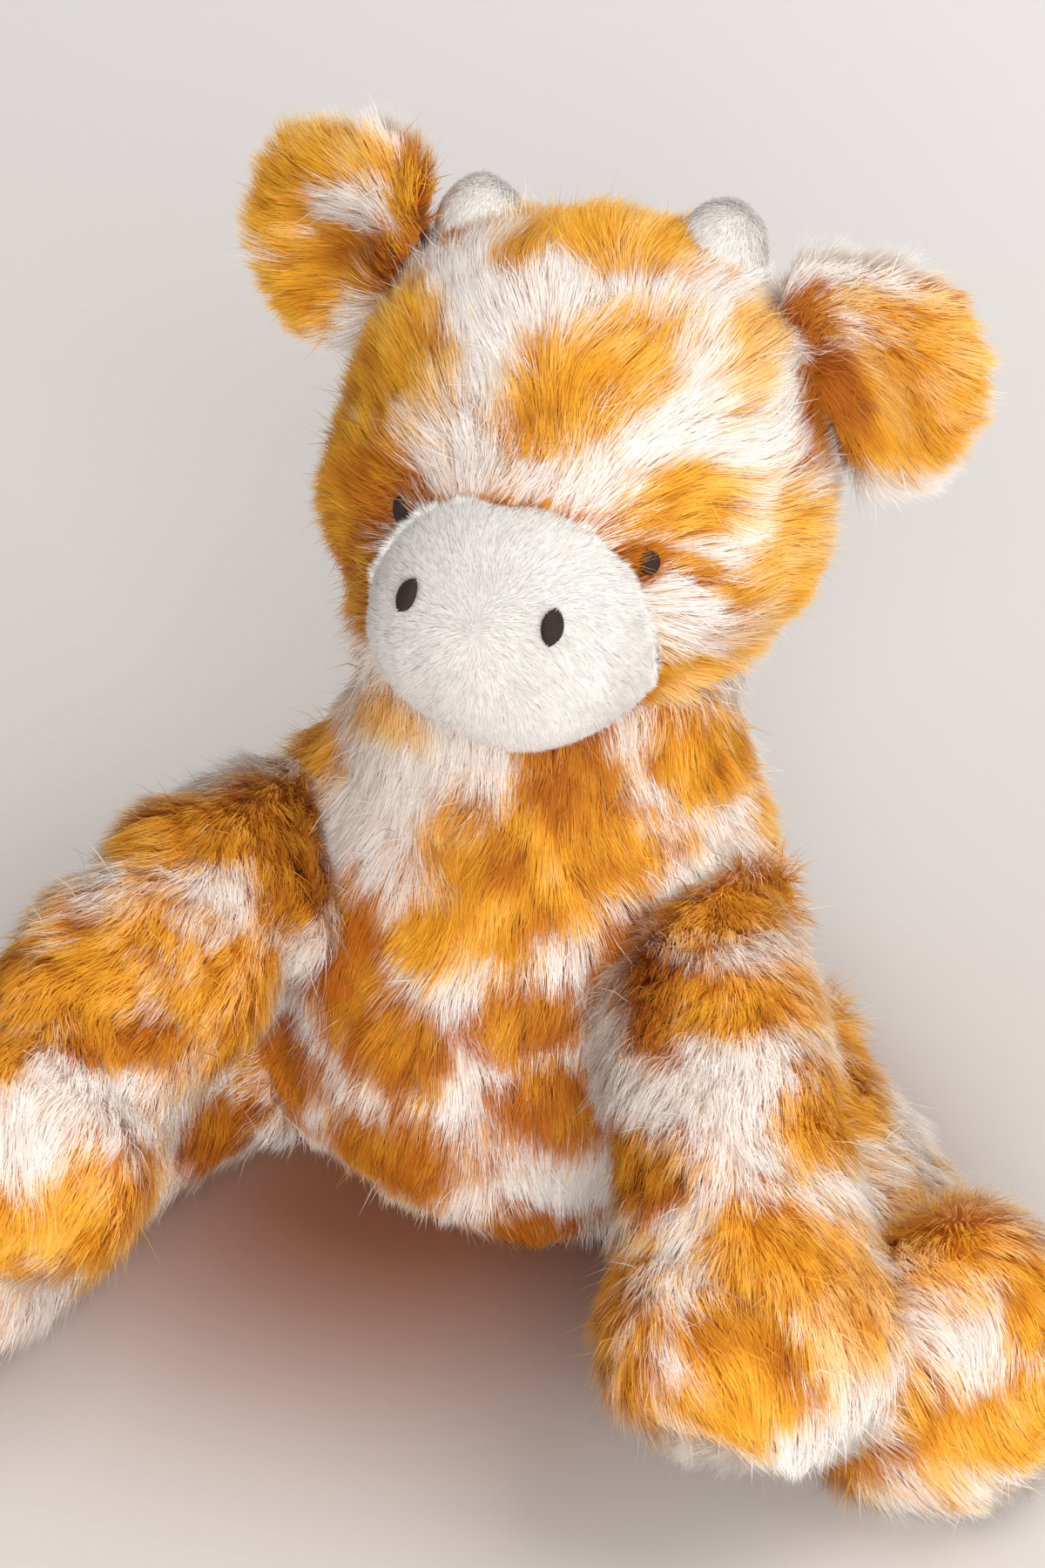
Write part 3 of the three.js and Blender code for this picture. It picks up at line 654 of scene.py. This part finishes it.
cloud_share = ramp_of(strand_colour_and_shade, cloud.outputs["Fac"], *CLOUD_RANGE)
clouded = mixed(strand_colour_and_shade, cloud_share, CLOUD_SHADE, WHITE)
single = mixed(strand_colour_and_shade, dye_in.outputs["Tint"], DULL_STRAND, BRIGHT_STRAND)
shaded = mixed(strand_colour_and_shade, 1.0, dyed_and_shaded_strand, clouded, "MULTIPLY")
strand_colour_and_shade.links.new(mixed(strand_colour_and_shade, 1.0, shaded, single, "MULTIPLY"), dye_out.inputs["Color"])
PILE_SPECULAR = 0.25
PILE_THROUGH = 0.45  # the share of the light that passes through a strand


def pile_material(name, dyed, roughness, sheen):
    """Pile coloured by a node group, in a soft shader that lets some light through."""
    material = bpy.data.materials.new(name)
    material.use_nodes = True
    tree = material.node_tree
    colour = tree.nodes.new("ShaderNodeGroup")
    colour.node_tree = dyed
    for label, _, _ in STRAND_SOCKETS:
        read = tree.nodes.new("ShaderNodeAttribute")
        read.attribute_name = label.lower()
        tree.links.new(read.outputs["Fac"], colour.inputs[label])
    shader = tree.nodes["Principled BSDF"]
    tree.links.new(colour.outputs["Color"], shader.inputs["Base Color"])
    shader.inputs["Roughness"].default_value = roughness
    shader.inputs["Specular IOR Level"].default_value = PILE_SPECULAR
    shader.inputs["Sheen Weight"].default_value = sheen
    through = tree.nodes.new("ShaderNodeBsdfTranslucent")
    tree.links.new(colour.outputs["Color"], through.inputs["Color"])
    blend = tree.nodes.new("ShaderNodeMixShader")
    blend.inputs["Fac"].default_value = PILE_THROUGH
    tree.links.new(shader.outputs["BSDF"], blend.inputs[1])
    tree.links.new(through.outputs["BSDF"], blend.inputs[2])
    tree.links.new(blend.outputs["Shader"], tree.nodes["Material Output"].inputs["Surface"])
    return material


long_pile = pile_material("long pile", strand_colour_and_shade, roughness=0.7, sheen=0.05)

TORSO_BEHIND = 0.02
torso_members = ["torso_skin", "torso_filling", "seat_pouch"]
torso_form = stuffed_form("torso_backing", torso_members, PILE_DEPTH, pulls=TORSO_PULLS)
torso_spots = spots_on(torso_form, TORSO_PATCHES)
torso_spots += spots_behind(torso_form, torso_spots, TORSO_BEHIND, seed=31)
dye_form(torso_form, torso_spots)
torso_form.data.materials.append(long_pile)
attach(torso_form, "torso")
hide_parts("torso_skin")

PARTING = 0.004  # along y, where the front pieces of pile end and the back ones start
PILE_DENSITY = 4.6e6  # strands to the square metre
PILE_LENGTH = 0.0125
PILE_WIDTH = 0.00018
DOWN = np.array([0, 0, -1.0])
for side, ahead in {"front": True, "back": False}.items():
    for half, leftward in {"left": True, "right": False}.items():
        torso_pile = grow_pile(
            f"torso_pile_{side}_{half}", torso_form, torso_members, torso_spots,
            lambda points, facing: DOWN,
            density=PILE_DENSITY, length=PILE_LENGTH, width=PILE_WIDTH,
            pick=lambda root, facing: (
                ((root[:, 1] < PARTING) == ahead) & ((root[:, 0] > 0) == leftward)
            ),
        )
        torso_pile.data.materials.append(long_pile)
        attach(torso_pile, "torso")

# Head
# A large round stuffed head of the same pile, sewn to the neck all round. It is combed away from
# the muzzle, and clipped short round the two eyes and a little round the ossicones.
HEAD_PATCHES = [
    (690, 272, 128, 50, -8, -0.1),
    (600, 300, 36, 34, 0, 0.2),
    (675, 437, 118, 62, 32, 0.0),
    (620, 468, 46, 58, -10, 0.6),
    (445, 425, 84, 94, 0, 0.2),
    (404, 572, 62, 132, 0, 0.4),
    (438, 560, 42, 76, 0, 0.95),
    (404, 690, 36, 50, 0, 0.4),
    (530, 282, 26, 14, 0, 0.9),
    (862, 418, 38, 78, -8, -0.5),
    (790, 580, 76, 44, 10, 0.1),
    (802, 655, 66, 13, -35, 0.4),
    # the lamp-lit cheek: its pale is partly painted light
    (905, 640, 62, 90, 0, -0.35),
    (930, 450, 28, 110, -6, 0.95),
    (744, 640, 32, 26, 0, 0.7),
    (850, 735, 52, 42, 20, -0.7),
    (775, 770, 36, 66, 10, -0.9),
    # a thin rusty band along the top of the muzzle, partly painted shade under the fringe
    (600, 580, 95, 10, -8, 0.7),
    (760, 850, 115, 32, 8, 0.3),
]
HEAD_PULLS = [(925, 690, 50, 26, -10), (385, 437, 45, -10, 0), (365, 560, 60, 6, 0)]
HEAD_BEHIND = 0.02
HEAD_DROOP = np.array([0, 0, -0.25])
EYE_CLIP_NEAR = 0.003
EYE_CLIP_FAR = 0.008
EYE_CLIP_SHARE = 0.6
KNOB_CLIP_NEAR = 0.013
KNOB_CLIP_FAR = 0.022
KNOB_CLIP_SHARE = 0.85
head_members = ["head_skin", "head_filling"]
head_form = stuffed_form("head_backing", head_members, PILE_DEPTH, pulls=HEAD_PULLS)
head_spots = spots_on(head_form, HEAD_PATCHES)
head_spots += spots_behind(head_form, head_spots, HEAD_BEHIND, seed=32)
dye_form(head_form, head_spots)
head_form.data.materials.append(long_pile)
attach(head_form, "head")
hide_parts("head_skin")


def middle_of(name):
    """The middle of a node's box."""
    return np.mean(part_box(name), axis=0)


muzzle_middle = middle_of("muzzle_skin")
eye_middles = [middle_of("eye_left"), middle_of("eye_right")]
knob_middles = [middle_of("ossicone_skin_left"), middle_of("ossicone_skin_right")]


def off_the_muzzle(points, facing):
    """The head's nap: away from the muzzle, and a little down."""
    return unit(points - muzzle_middle) + HEAD_DROOP


def clipped(points):
    """How much of its length the pile keeps near the eyes and round the ossicones."""
    by_eye = np.min([np.linalg.norm(points - eye, axis=1) for eye in eye_middles], axis=0)
    by_knob = np.min([np.linalg.norm(points - knob, axis=1) for knob in knob_middles], axis=0)
    at_eye = np.interp(by_eye, [EYE_CLIP_NEAR, EYE_CLIP_FAR], [EYE_CLIP_SHARE, 1])
    return at_eye * np.interp(by_knob, [KNOB_CLIP_NEAR, KNOB_CLIP_FAR], [KNOB_CLIP_SHARE, 1])


for side, ahead in {"front": True, "back": False}.items():
    head_pile = grow_pile(
        f"head_pile_{side}", head_form, head_members, head_spots, off_the_muzzle,
        density=PILE_DENSITY, length=PILE_LENGTH, width=PILE_WIDTH, clip=clipped,
        pick=lambda root, facing: (root[:, 1] < PARTING) == ahead,
    )
    head_pile.data.materials.append(long_pile)
    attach(head_pile, "head")

# Muzzle
# A wide cap of short white velvety pile, sewn over the front of the face and stuffed by itself. The
# pile runs outwards from the nose, and is shortest round the stitches.
MUZZLE_DEPTH = 0.0022
MUZZLE_CELL = 0.0018
MUZZLE_DENSITY = 16e6
MUZZLE_LENGTH = 0.003
MUZZLE_WIDTH = 0.00014
NOSE_SPREAD = np.array([1, 0.6, 1])
NOSE_NAP = np.array([0, 0.4, -0.35])
VELVET_NEED = 0.0012
VELVET_REACH = 0.9
muzzle_members = ["muzzle_skin", "muzzle_filling"]
muzzle_form = stuffed_form("muzzle_backing", muzzle_members, MUZZLE_DEPTH, cell=MUZZLE_CELL)
dye_form(muzzle_form, [], reach=VELVET_REACH)
VELVET_ROOT = (0.79, 0.755, 0.72)
VELVET_TIP = (0.86, 0.842, 0.82)
DULL_VELVET = (0.86, 0.85, 0.84)
BRIGHT_VELVET = (1.04, 1.04, 1.04)
white_dye, white_in, white_out = shader_group("white strands", STRAND_SOCKETS, DYE_SOCKETS)
up_the_velvet = ramp_of(white_dye, white_in.outputs["Reach"], 0, 1)
plain_white = mixed(white_dye, up_the_velvet, VELVET_ROOT, VELVET_TIP)
varied = mixed(white_dye, white_in.outputs["Tint"], DULL_VELVET, BRIGHT_VELVET)
tinted_white = mixed(white_dye, 1.0, plain_white, varied, "MULTIPLY")
white_dye.links.new(tinted_white, white_out.inputs["Color"])
velvet = pile_material("short velvet pile", white_dye, roughness=0.8, sheen=0.1)
muzzle_form.data.materials.append(velvet)
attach(muzzle_form, "head")
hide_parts("muzzle_skin")


def from_the_nose(points, facing):
    """The muzzle's nap: out from its middle, back over its sides, and a little down."""
    return unit(points - muzzle_middle) * NOSE_SPREAD + NOSE_NAP


NOSTRIL_SHIFTS = {"left": -0.0023, "right": -0.0009}  # along the photograph's width
THREAD_CLIP_NEAR = 0.0018
THREAD_CLIP_FAR = 0.0042
THREAD_CLIP_SHARE = 0.2


def off_the_thread(points):
    """How much of its length the pile keeps near the nostrils' stitches."""
    middles = [
        middle_of(f"nostril_{side}") + shift * np.array(rightward)
        for side, shift in NOSTRIL_SHIFTS.items()
    ]
    near = np.min([np.linalg.norm(points - middle, axis=1) for middle in middles], axis=0)
    return np.interp(near, [THREAD_CLIP_NEAR, THREAD_CLIP_FAR], [THREAD_CLIP_SHARE, 1])


muzzle_pile = grow_pile(
    "muzzle_pile", muzzle_form, muzzle_members, [], from_the_nose,
    density=MUZZLE_DENSITY, length=MUZZLE_LENGTH, width=MUZZLE_WIDTH,
    clump=0.12, swirl=0.3, stand=1.1, need=VELVET_NEED, clip=off_the_thread,
)
muzzle_pile.data.materials.append(velvet)
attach(muzzle_pile, "head")

# Nostrils and eyes
# Small upright ovals of dark brown satin stitch, sewn through the backing. Each stitch is a thread
# laid across the oval, and together they arch over its middle.
STITCHES = 15
STITCH_STEPS = 7
THREAD_SIDES = 6
THREAD_RADIUS = 0.00028
THREAD_COLOUR = (0.014, 0.008, 0.006)
THREAD_WORN = tuple(2.2 * part for part in THREAD_COLOUR)
FIBRE_SCALE = 4000
PLY_DEPTH = 0.0001
ARCH = 0.96  # below 1, so that a stitch's ends stand a little proud
STITCH_LEAN = 0.12  # how far a stitch climbs across the oval, as a share of the oval's height


def satin_oval(name, node):
    """Stitches side by side across an oval solid, each arched over its middle."""
    points = points_of(frame["nodes"][node].data)
    middle = points.mean(0)
    ways = np.linalg.svd(points - middle, full_matrices=False)[2]
    tall, wide, deep = (Vector(way) for way in ways)
    deep = deep if deep.dot(toward) > 0 else -deep
    reach = [np.abs((points - middle) @ np.array(way)).max() for way in (tall, wide, deep)]
    oval = bmesh.new()
    for k in range(STITCHES):
        level = (k + 0.5) / STITCHES * 2 - 1
        half = reach[1] * math.sqrt(1 - level**2)
        rings = []
        for step in range(STITCH_STEPS + 1):
            share = step / STITCH_STEPS * 2 - 1
            rise = reach[2] * math.sqrt(1 - level**2) * math.sqrt(max(0, 1 - (ARCH * share) ** 2))
            lean = STITCH_LEAN * reach[0] * share
            spot = Vector(middle) + tall * (level * reach[0] + lean)
            spot = spot + wide * (half * share) + deep * rise
            ring = []
            for corner in range(THREAD_SIDES):
                angle = 2 * math.pi * corner / THREAD_SIDES
                out = (tall * math.cos(angle) + deep * math.sin(angle)) * THREAD_RADIUS
                ring.append(oval.verts.new(spot + out))
            rings.append(ring)
        for low, high in zip(rings, rings[1:]):
            for corner in range(THREAD_SIDES):
                after = (corner + 1) % THREAD_SIDES
                oval.faces.new((low[corner], low[after], high[after], high[corner]))
        oval.faces.new(rings[0][::-1])
        oval.faces.new(rings[-1])
    bmesh.ops.recalc_face_normals(oval, faces=oval.faces)
    mesh = bpy.data.meshes.new(name)
    oval.to_mesh(mesh)
    oval.free()
    mesh.shade_smooth()
    piece = bpy.data.objects.new(name, mesh)
    bpy.context.scene.collection.objects.link(piece)
    return piece


thread = bpy.data.materials.new("embroidery thread")
thread.use_nodes = True
thread_shader = thread.node_tree.nodes["Principled BSDF"]
thread_shader.inputs["Roughness"].default_value = 0.6
thread_shader.inputs["Specular IOR Level"].default_value = 0.25
fibres = thread.node_tree.nodes.new("ShaderNodeTexNoise")
fibres.inputs["Scale"].default_value = FIBRE_SCALE
worn = mixed(thread.node_tree, fibres.outputs["Fac"], THREAD_COLOUR, THREAD_WORN)
thread.node_tree.links.new(worn, thread_shader.inputs["Base Color"])
ply = thread.node_tree.nodes.new("ShaderNodeBump")
ply.inputs["Strength"].default_value = 0.4
ply.inputs["Distance"].default_value = PLY_DEPTH
thread.node_tree.links.new(fibres.outputs["Fac"], ply.inputs["Height"])
thread.node_tree.links.new(ply.outputs["Normal"], thread_shader.inputs["Normal"])
for side in ("left", "right"):
    for part in ("nostril", "eye"):
        oval = satin_oval(f"{part}_stitches_{side}", f"{part}_{side}")
        if part == "nostril":
            oval.data.transform(Matrix.Translation(rightward * NOSTRIL_SHIFTS[side]))
        oval.data.materials.append(thread)
        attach(oval, "head")
        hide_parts(f"{part}_{side}")

# Ossicones
# Two round knobs of the same white pile on top of the head, cut shorter and combed down flat. Each
# is stuffed with a pinch of fibre and sewn on round its foot.
KNOB_DEPTH = 0.0014
KNOB_LENGTH = 0.0026
KNOB_DENSITY = 22e6
KNOB_NAP = np.array([-0.2, -0.5, -0.7])
for side in ("left", "right"):
    knob_members = [f"ossicone_skin_{side}", f"ossicone_filling_{side}"]
    knob_form = stuffed_form(
        f"ossicone_backing_{side}", knob_members, KNOB_DEPTH, cell=MUZZLE_CELL, smoothing=6
    )
    dye_form(knob_form, [], reach=VELVET_REACH)
    knob_pile = grow_pile(
        f"ossicone_pile_{side}", knob_form, knob_members, [], lambda points, facing: KNOB_NAP,
        density=KNOB_DENSITY, length=KNOB_LENGTH, width=MUZZLE_WIDTH,
        clump=0.05, swirl=0.4, stand=0.55, need=VELVET_NEED,
    )
    for piece in (knob_form, knob_pile):
        piece.data.materials.append(velvet)
        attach(piece, "head")
    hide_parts(f"ossicone_skin_{side}")

# Ears
# Each ear is two panels of the long pile, sewn round their edge, cupped to the front and sewn to
# the head. The pile runs out from the root, so that it stands over the rim.
EAR_PATCHES = {
    "right": [
        (395, 160, 108, 38, -14, -0.2),
        (322, 235, 50, 70, 0, 0.1),
        (345, 338, 72, 52, 0, 0.15),
        (478, 225, 34, 75, 0, 0.35),
        (457, 295, 50, 45, 0, 1.0),
        (400, 292, 58, 38, 0, 0.6),
    ],
    "left": [
        (1065, 430, 80, 98, 0, -0.25),
        (1012, 308, 45, 20, 0, -0.6),
        # the hollow by the ear's root: its rust is painted shade
        (926, 375, 34, 52, 0, 1.0),
        (953, 470, 48, 76, 15, 1.3),
        (955, 545, 36, 32, 0, 0.4),
        (1040, 540, 80, 38, 0, 0.0),
    ],
}
EAR_PULLS = {
    "right": [(310, 150, 40, -14, 14), (485, 165, 34, 6, 12)],
    "left": [(1130, 430, 60, -22, 0), (925, 450, 55, -26, 0), (950, 335, 42, -30, 34)],
}
EAR_DEPTH = 0.0032
EAR_CELL = 0.0018
EAR_DENSITY = 5.5e6
EAR_LENGTH = 0.0115
EAR_BEHIND = 0.012
EAR_NAP_START = 0.004  # the pile fans out from this far up the ear
EAR_NAP_OUT = 0.5
for side in ("left", "right"):
    ear_members = [f"ear_back_{side}", f"ear_front_{side}"]
    ear_form = stuffed_form(
        f"ear_backing_{side}", ear_members, EAR_DEPTH,
        cell=EAR_CELL, smoothing=5, pulls=EAR_PULLS[side],
    )
    ear_spots = spots_on(ear_form, EAR_PATCHES[side])
    ear_spots += spots_behind(ear_form, ear_spots, EAR_BEHIND, seed=33)
    dye_form(ear_form, ear_spots)
    ear_form.data.materials.append(long_pile)
    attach(ear_form, f"ear_{side}")
    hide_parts(*ear_members)
    fold = next(joint for joint in frame["joints"] if joint["name"] == f"ear_fold_{side}")
    ear_root = np.array(fold["pos_m"])
    ear_points = points_of(ear_form.data)
    out = unit(ear_points.mean(0) - ear_root)
    cup = unit(np.cross(np.array(fold["axis"]), out))
    cup = cup if cup[1] < 0 else -cup
    for panel, way in {"front": 1, "back": -1}.items():
        ear_pile = grow_pile(
            f"ear_pile_{panel}_{side}", ear_form, ear_members, ear_spots,
            lambda points, facing: (
                unit(points - ear_root - out * EAR_NAP_START) + EAR_NAP_OUT * out
            ),
            density=EAR_DENSITY, length=EAR_LENGTH, width=PILE_WIDTH,
            pick=lambda root, facing: (facing @ cup) * way > 0,
        )
        ear_pile.data.materials.append(long_pile)
        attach(ear_pile, f"ear_{side}")

# Arms and legs
# Four stuffed limbs of the long pile with rounder paws and feet, weighted by pellets in their ends,
# and each sewn to the torso by its open end. The pile runs from that seam to the toes.
LIMB_PATCHES = {
    "arm_right": [
        (315, 885, 92, 56, 15, 0.3),
        (185, 930, 74, 40, 24, 0.05),
        (335, 1005, 52, 72, 0, 0.55),
        (95, 1122, 104, 54, 8, 0.25),
        (265, 1116, 58, 44, 0, -0.1),
        (300, 1190, 40, 62, 0, 0.1),
        (8, 1215, 36, 40, 0, 0.1),
        (140, 1192, 88, 32, 0, 0.8),
        (120, 1400, 104, 74, -8, -0.1),
        (10, 1410, 40, 56, 0, 0.0),
        (225, 1330, 30, 60, 0, 0.2),
    ],
    "arm_left": [
        (820, 1048, 84, 46, 5, 0.05),
        (845, 1155, 100, 38, 3, 0.05),
        (968, 1275, 70, 64, 20, 0.0),
        (732, 1342, 82, 48, 5, 0.4),
        (760, 1362, 40, 24, 0, 1.0),
        (905, 1440, 110, 66, 0, 0.0),
        (664, 1545, 54, 120, 0, 0.15),
        (862, 1545, 76, 66, 0, 0.45),
        (965, 1510, 74, 62, 0, -0.6),
        (862, 1608, 90, 48, 0, 0.05),
        # the side of the upper arm by the body: its rust is painted shade
        (700, 1115, 42, 80, 10, 0.9),
        (1000, 1430, 45, 48, 0, -0.1),
    ],
    "leg_right": [
        (110, 1440, 96, 50, 0, 0.0),
        (100, 1500, 64, 36, 0, 0.5),
        (270, 1320, 44, 54, 0, 0.9),
    ],
    "leg_left": [
        (1000, 1240, 40, 48, 0, -0.2),
        # the top of the foot: made paler as painted light
        (1095, 1420, 92, 64, -10, -0.15),
        (1180, 1490, 38, 60, 0, 0.15),
        (1108, 1630, 88, 62, -10, 0.0),
        (1060, 1625, 28, 48, -20, 0.9),
        (1170, 1620, 42, 60, 0, 0.0),
        (955, 1690, 110, 66, 0, 0.4),
        (1050, 1722, 96, 46, 0, -0.1),
    ],
}
LIMB_PULLS = {
    "arm_right": [
        (280, 885, 60, -8, 18),
        (150, 940, 65, -14, 32),
        (40, 1070, 60, -8, 28),
        (110, 1420, 75, 0, -34),
    ],
    "arm_left": [(690, 1240, 55, -26, 0), (690, 1450, 80, -30, 0), (720, 1600, 60, -18, -4)],
    "leg_right": [],
    "leg_left": [(1000, 1680, 60, -60, -20), (1060, 1720, 60, 0, -24)],
}
LIMB_BEHIND = 0.018
LIMB_DROOP = np.array([0, 0, -0.3])
LIMB_NEED = -1  # short pile also stands on the end at the seam, where it shows as the limb turns
WAD_REACH = 0.006
WAD_COVER = 0.0006  # how far the backing stands over its wad
WAD_ROUNDS = 2


def cover_wad(form, wad):
    """Moves the points of a backing that lie inside its wad of fibre out through its surface."""
    tree = tree_of([wad])
    push = np.zeros(len(form.data.vertices))
    for i, point in enumerate(form.data.vertices):
        _, out, _, distance = tree.ray_cast(point.co, point.normal, WAD_REACH)
        if out is not None and out.dot(point.normal) > 0:
            push[i] = distance + WAD_COVER
    push = np.maximum(push, spread(form.data, push, WAD_ROUNDS))
    moved = points_of(form.data) + points_of(form.data, "normal") * push[:, None]
    moved[:, 2] = np.maximum(moved[:, 2], 0)
    form.data.vertices.foreach_set("co", moved.astype(np.float32).ravel())
    form.data.update()


for limb_name, patches in LIMB_PATCHES.items():
    kind, side = limb_name.split("_")
    limb_members = [f"{kind}_{part}_{side}" for part in ("skin", "filling", "pouch")]
    limb_form = stuffed_form(
        f"{limb_name}_backing", limb_members, PILE_DEPTH, pulls=LIMB_PULLS[limb_name]
    )
    cover_wad(limb_form, frame["nodes"][limb_members[1]])
    limb_spots = spots_on(limb_form, patches)
    limb_spots += spots_behind(limb_form, limb_spots, LIMB_BEHIND, seed=34)
    dye_form(limb_form, limb_spots)
    limb_joint = next(joint for joint in frame["joints"] if joint["child"] == limb_name)
    seam_middle = np.array(limb_joint["pos_m"])
    pouch_middle = middle_of(f"{kind}_pouch_{side}")
    along = unit(pouch_middle - seam_middle)
    halfway = (pouch_middle + seam_middle) / 2
    limb_piles = [
        grow_pile(
            f"{limb_name}_pile_{end}", limb_form, limb_members, limb_spots,
            lambda points, facing: along + LIMB_DROOP,
            density=PILE_DENSITY, length=PILE_LENGTH, width=PILE_WIDTH, need=LIMB_NEED,
            pick=lambda root, facing: ((root - halfway) @ along > 0) == outer,
        )
        for end, outer in {"outer": True, "inner": False}.items()
    ]
    for piece in (limb_form, *limb_piles):
        piece.data.materials.append(long_pile)
        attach(piece, limb_name)
    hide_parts(limb_members[0])

# Tail
# A narrow rolled tube of the pile, sewn on low on the back, with a fuller golden tuft on its end.
TAIL_DEPTH = 0.003
TAIL_NAP = np.array([0.0, 1.0, -0.4])
TUFT_SPREAD = 60  # the tuft's patch is this many of its own sizes to the metre
TUFT_RUST = 0.4
tail_members = ["tail_tube", "tail_tuft"]
tail_form = stuffed_form("tail_backing", tail_members, TAIL_DEPTH, cell=EAR_CELL, smoothing=5)
tuft_middle = Vector(middle_of("tail_tuft"))
tail_spots = [(tuft_middle, Vector((TUFT_SPREAD, 0, 0)), Vector((0, 0, TUFT_SPREAD)), TUFT_RUST)]
dye_form(tail_form, tail_spots)
tail_pile = grow_pile(
    "tail_pile", tail_form, tail_members, tail_spots, lambda points, facing: TAIL_NAP,
    density=EAR_DENSITY, length=EAR_LENGTH, width=PILE_WIDTH,
)
for piece in (tail_form, tail_pile):
    piece.data.materials.append(long_pile)
    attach(piece, "tail")
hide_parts(*tail_members)

# Fibre and pellets
# Inside the skins lie wads of white polyester fibre, and woven cotton pouches of plastic pellets in
# the seat, the paws and the feet.
FIBRE_SHADE = (0.78, 0.76, 0.73)
FIBRE_LIGHT = (0.92, 0.91, 0.89)
CLOTH_LIGHT = (0.62, 0.58, 0.52)
CLOTH_SHADE = (0.50, 0.46, 0.40)


def inner_material(name, texture, low, high, *, scale, bump):
    """A dull material whose colour and relief follow one texture."""
    material = bpy.data.materials.new(name)
    material.use_nodes = True
    tree = material.node_tree
    shader = tree.nodes["Principled BSDF"]
    shader.inputs["Roughness"].default_value = 0.9
    grain = tree.nodes.new(texture)
    grain.inputs["Scale"].default_value = scale
    value = grain.outputs["Fac"] if "Fac" in grain.outputs else grain.outputs["Distance"]
    tree.links.new(mixed(tree, value, low, high), shader.inputs["Base Color"])
    relief = tree.nodes.new("ShaderNodeBump")
    relief.inputs["Distance"].default_value = bump
    tree.links.new(value, relief.inputs["Height"])
    tree.links.new(relief.outputs["Normal"], shader.inputs["Normal"])
    return material


wadding = inner_material(
    "polyester fibre", "ShaderNodeTexNoise", FIBRE_SHADE, FIBRE_LIGHT, scale=400, bump=0.0008
)
pouch_cloth = inner_material(
    "pellet pouch", "ShaderNodeTexVoronoi", CLOTH_LIGHT, CLOTH_SHADE, scale=320, bump=0.001
)
for name, node in frame["nodes"].items():
    if "filling" in name or "pouch" in name:
        node.data.materials.clear()
        node.data.materials.append(pouch_cloth if "pouch" in name else wadding)
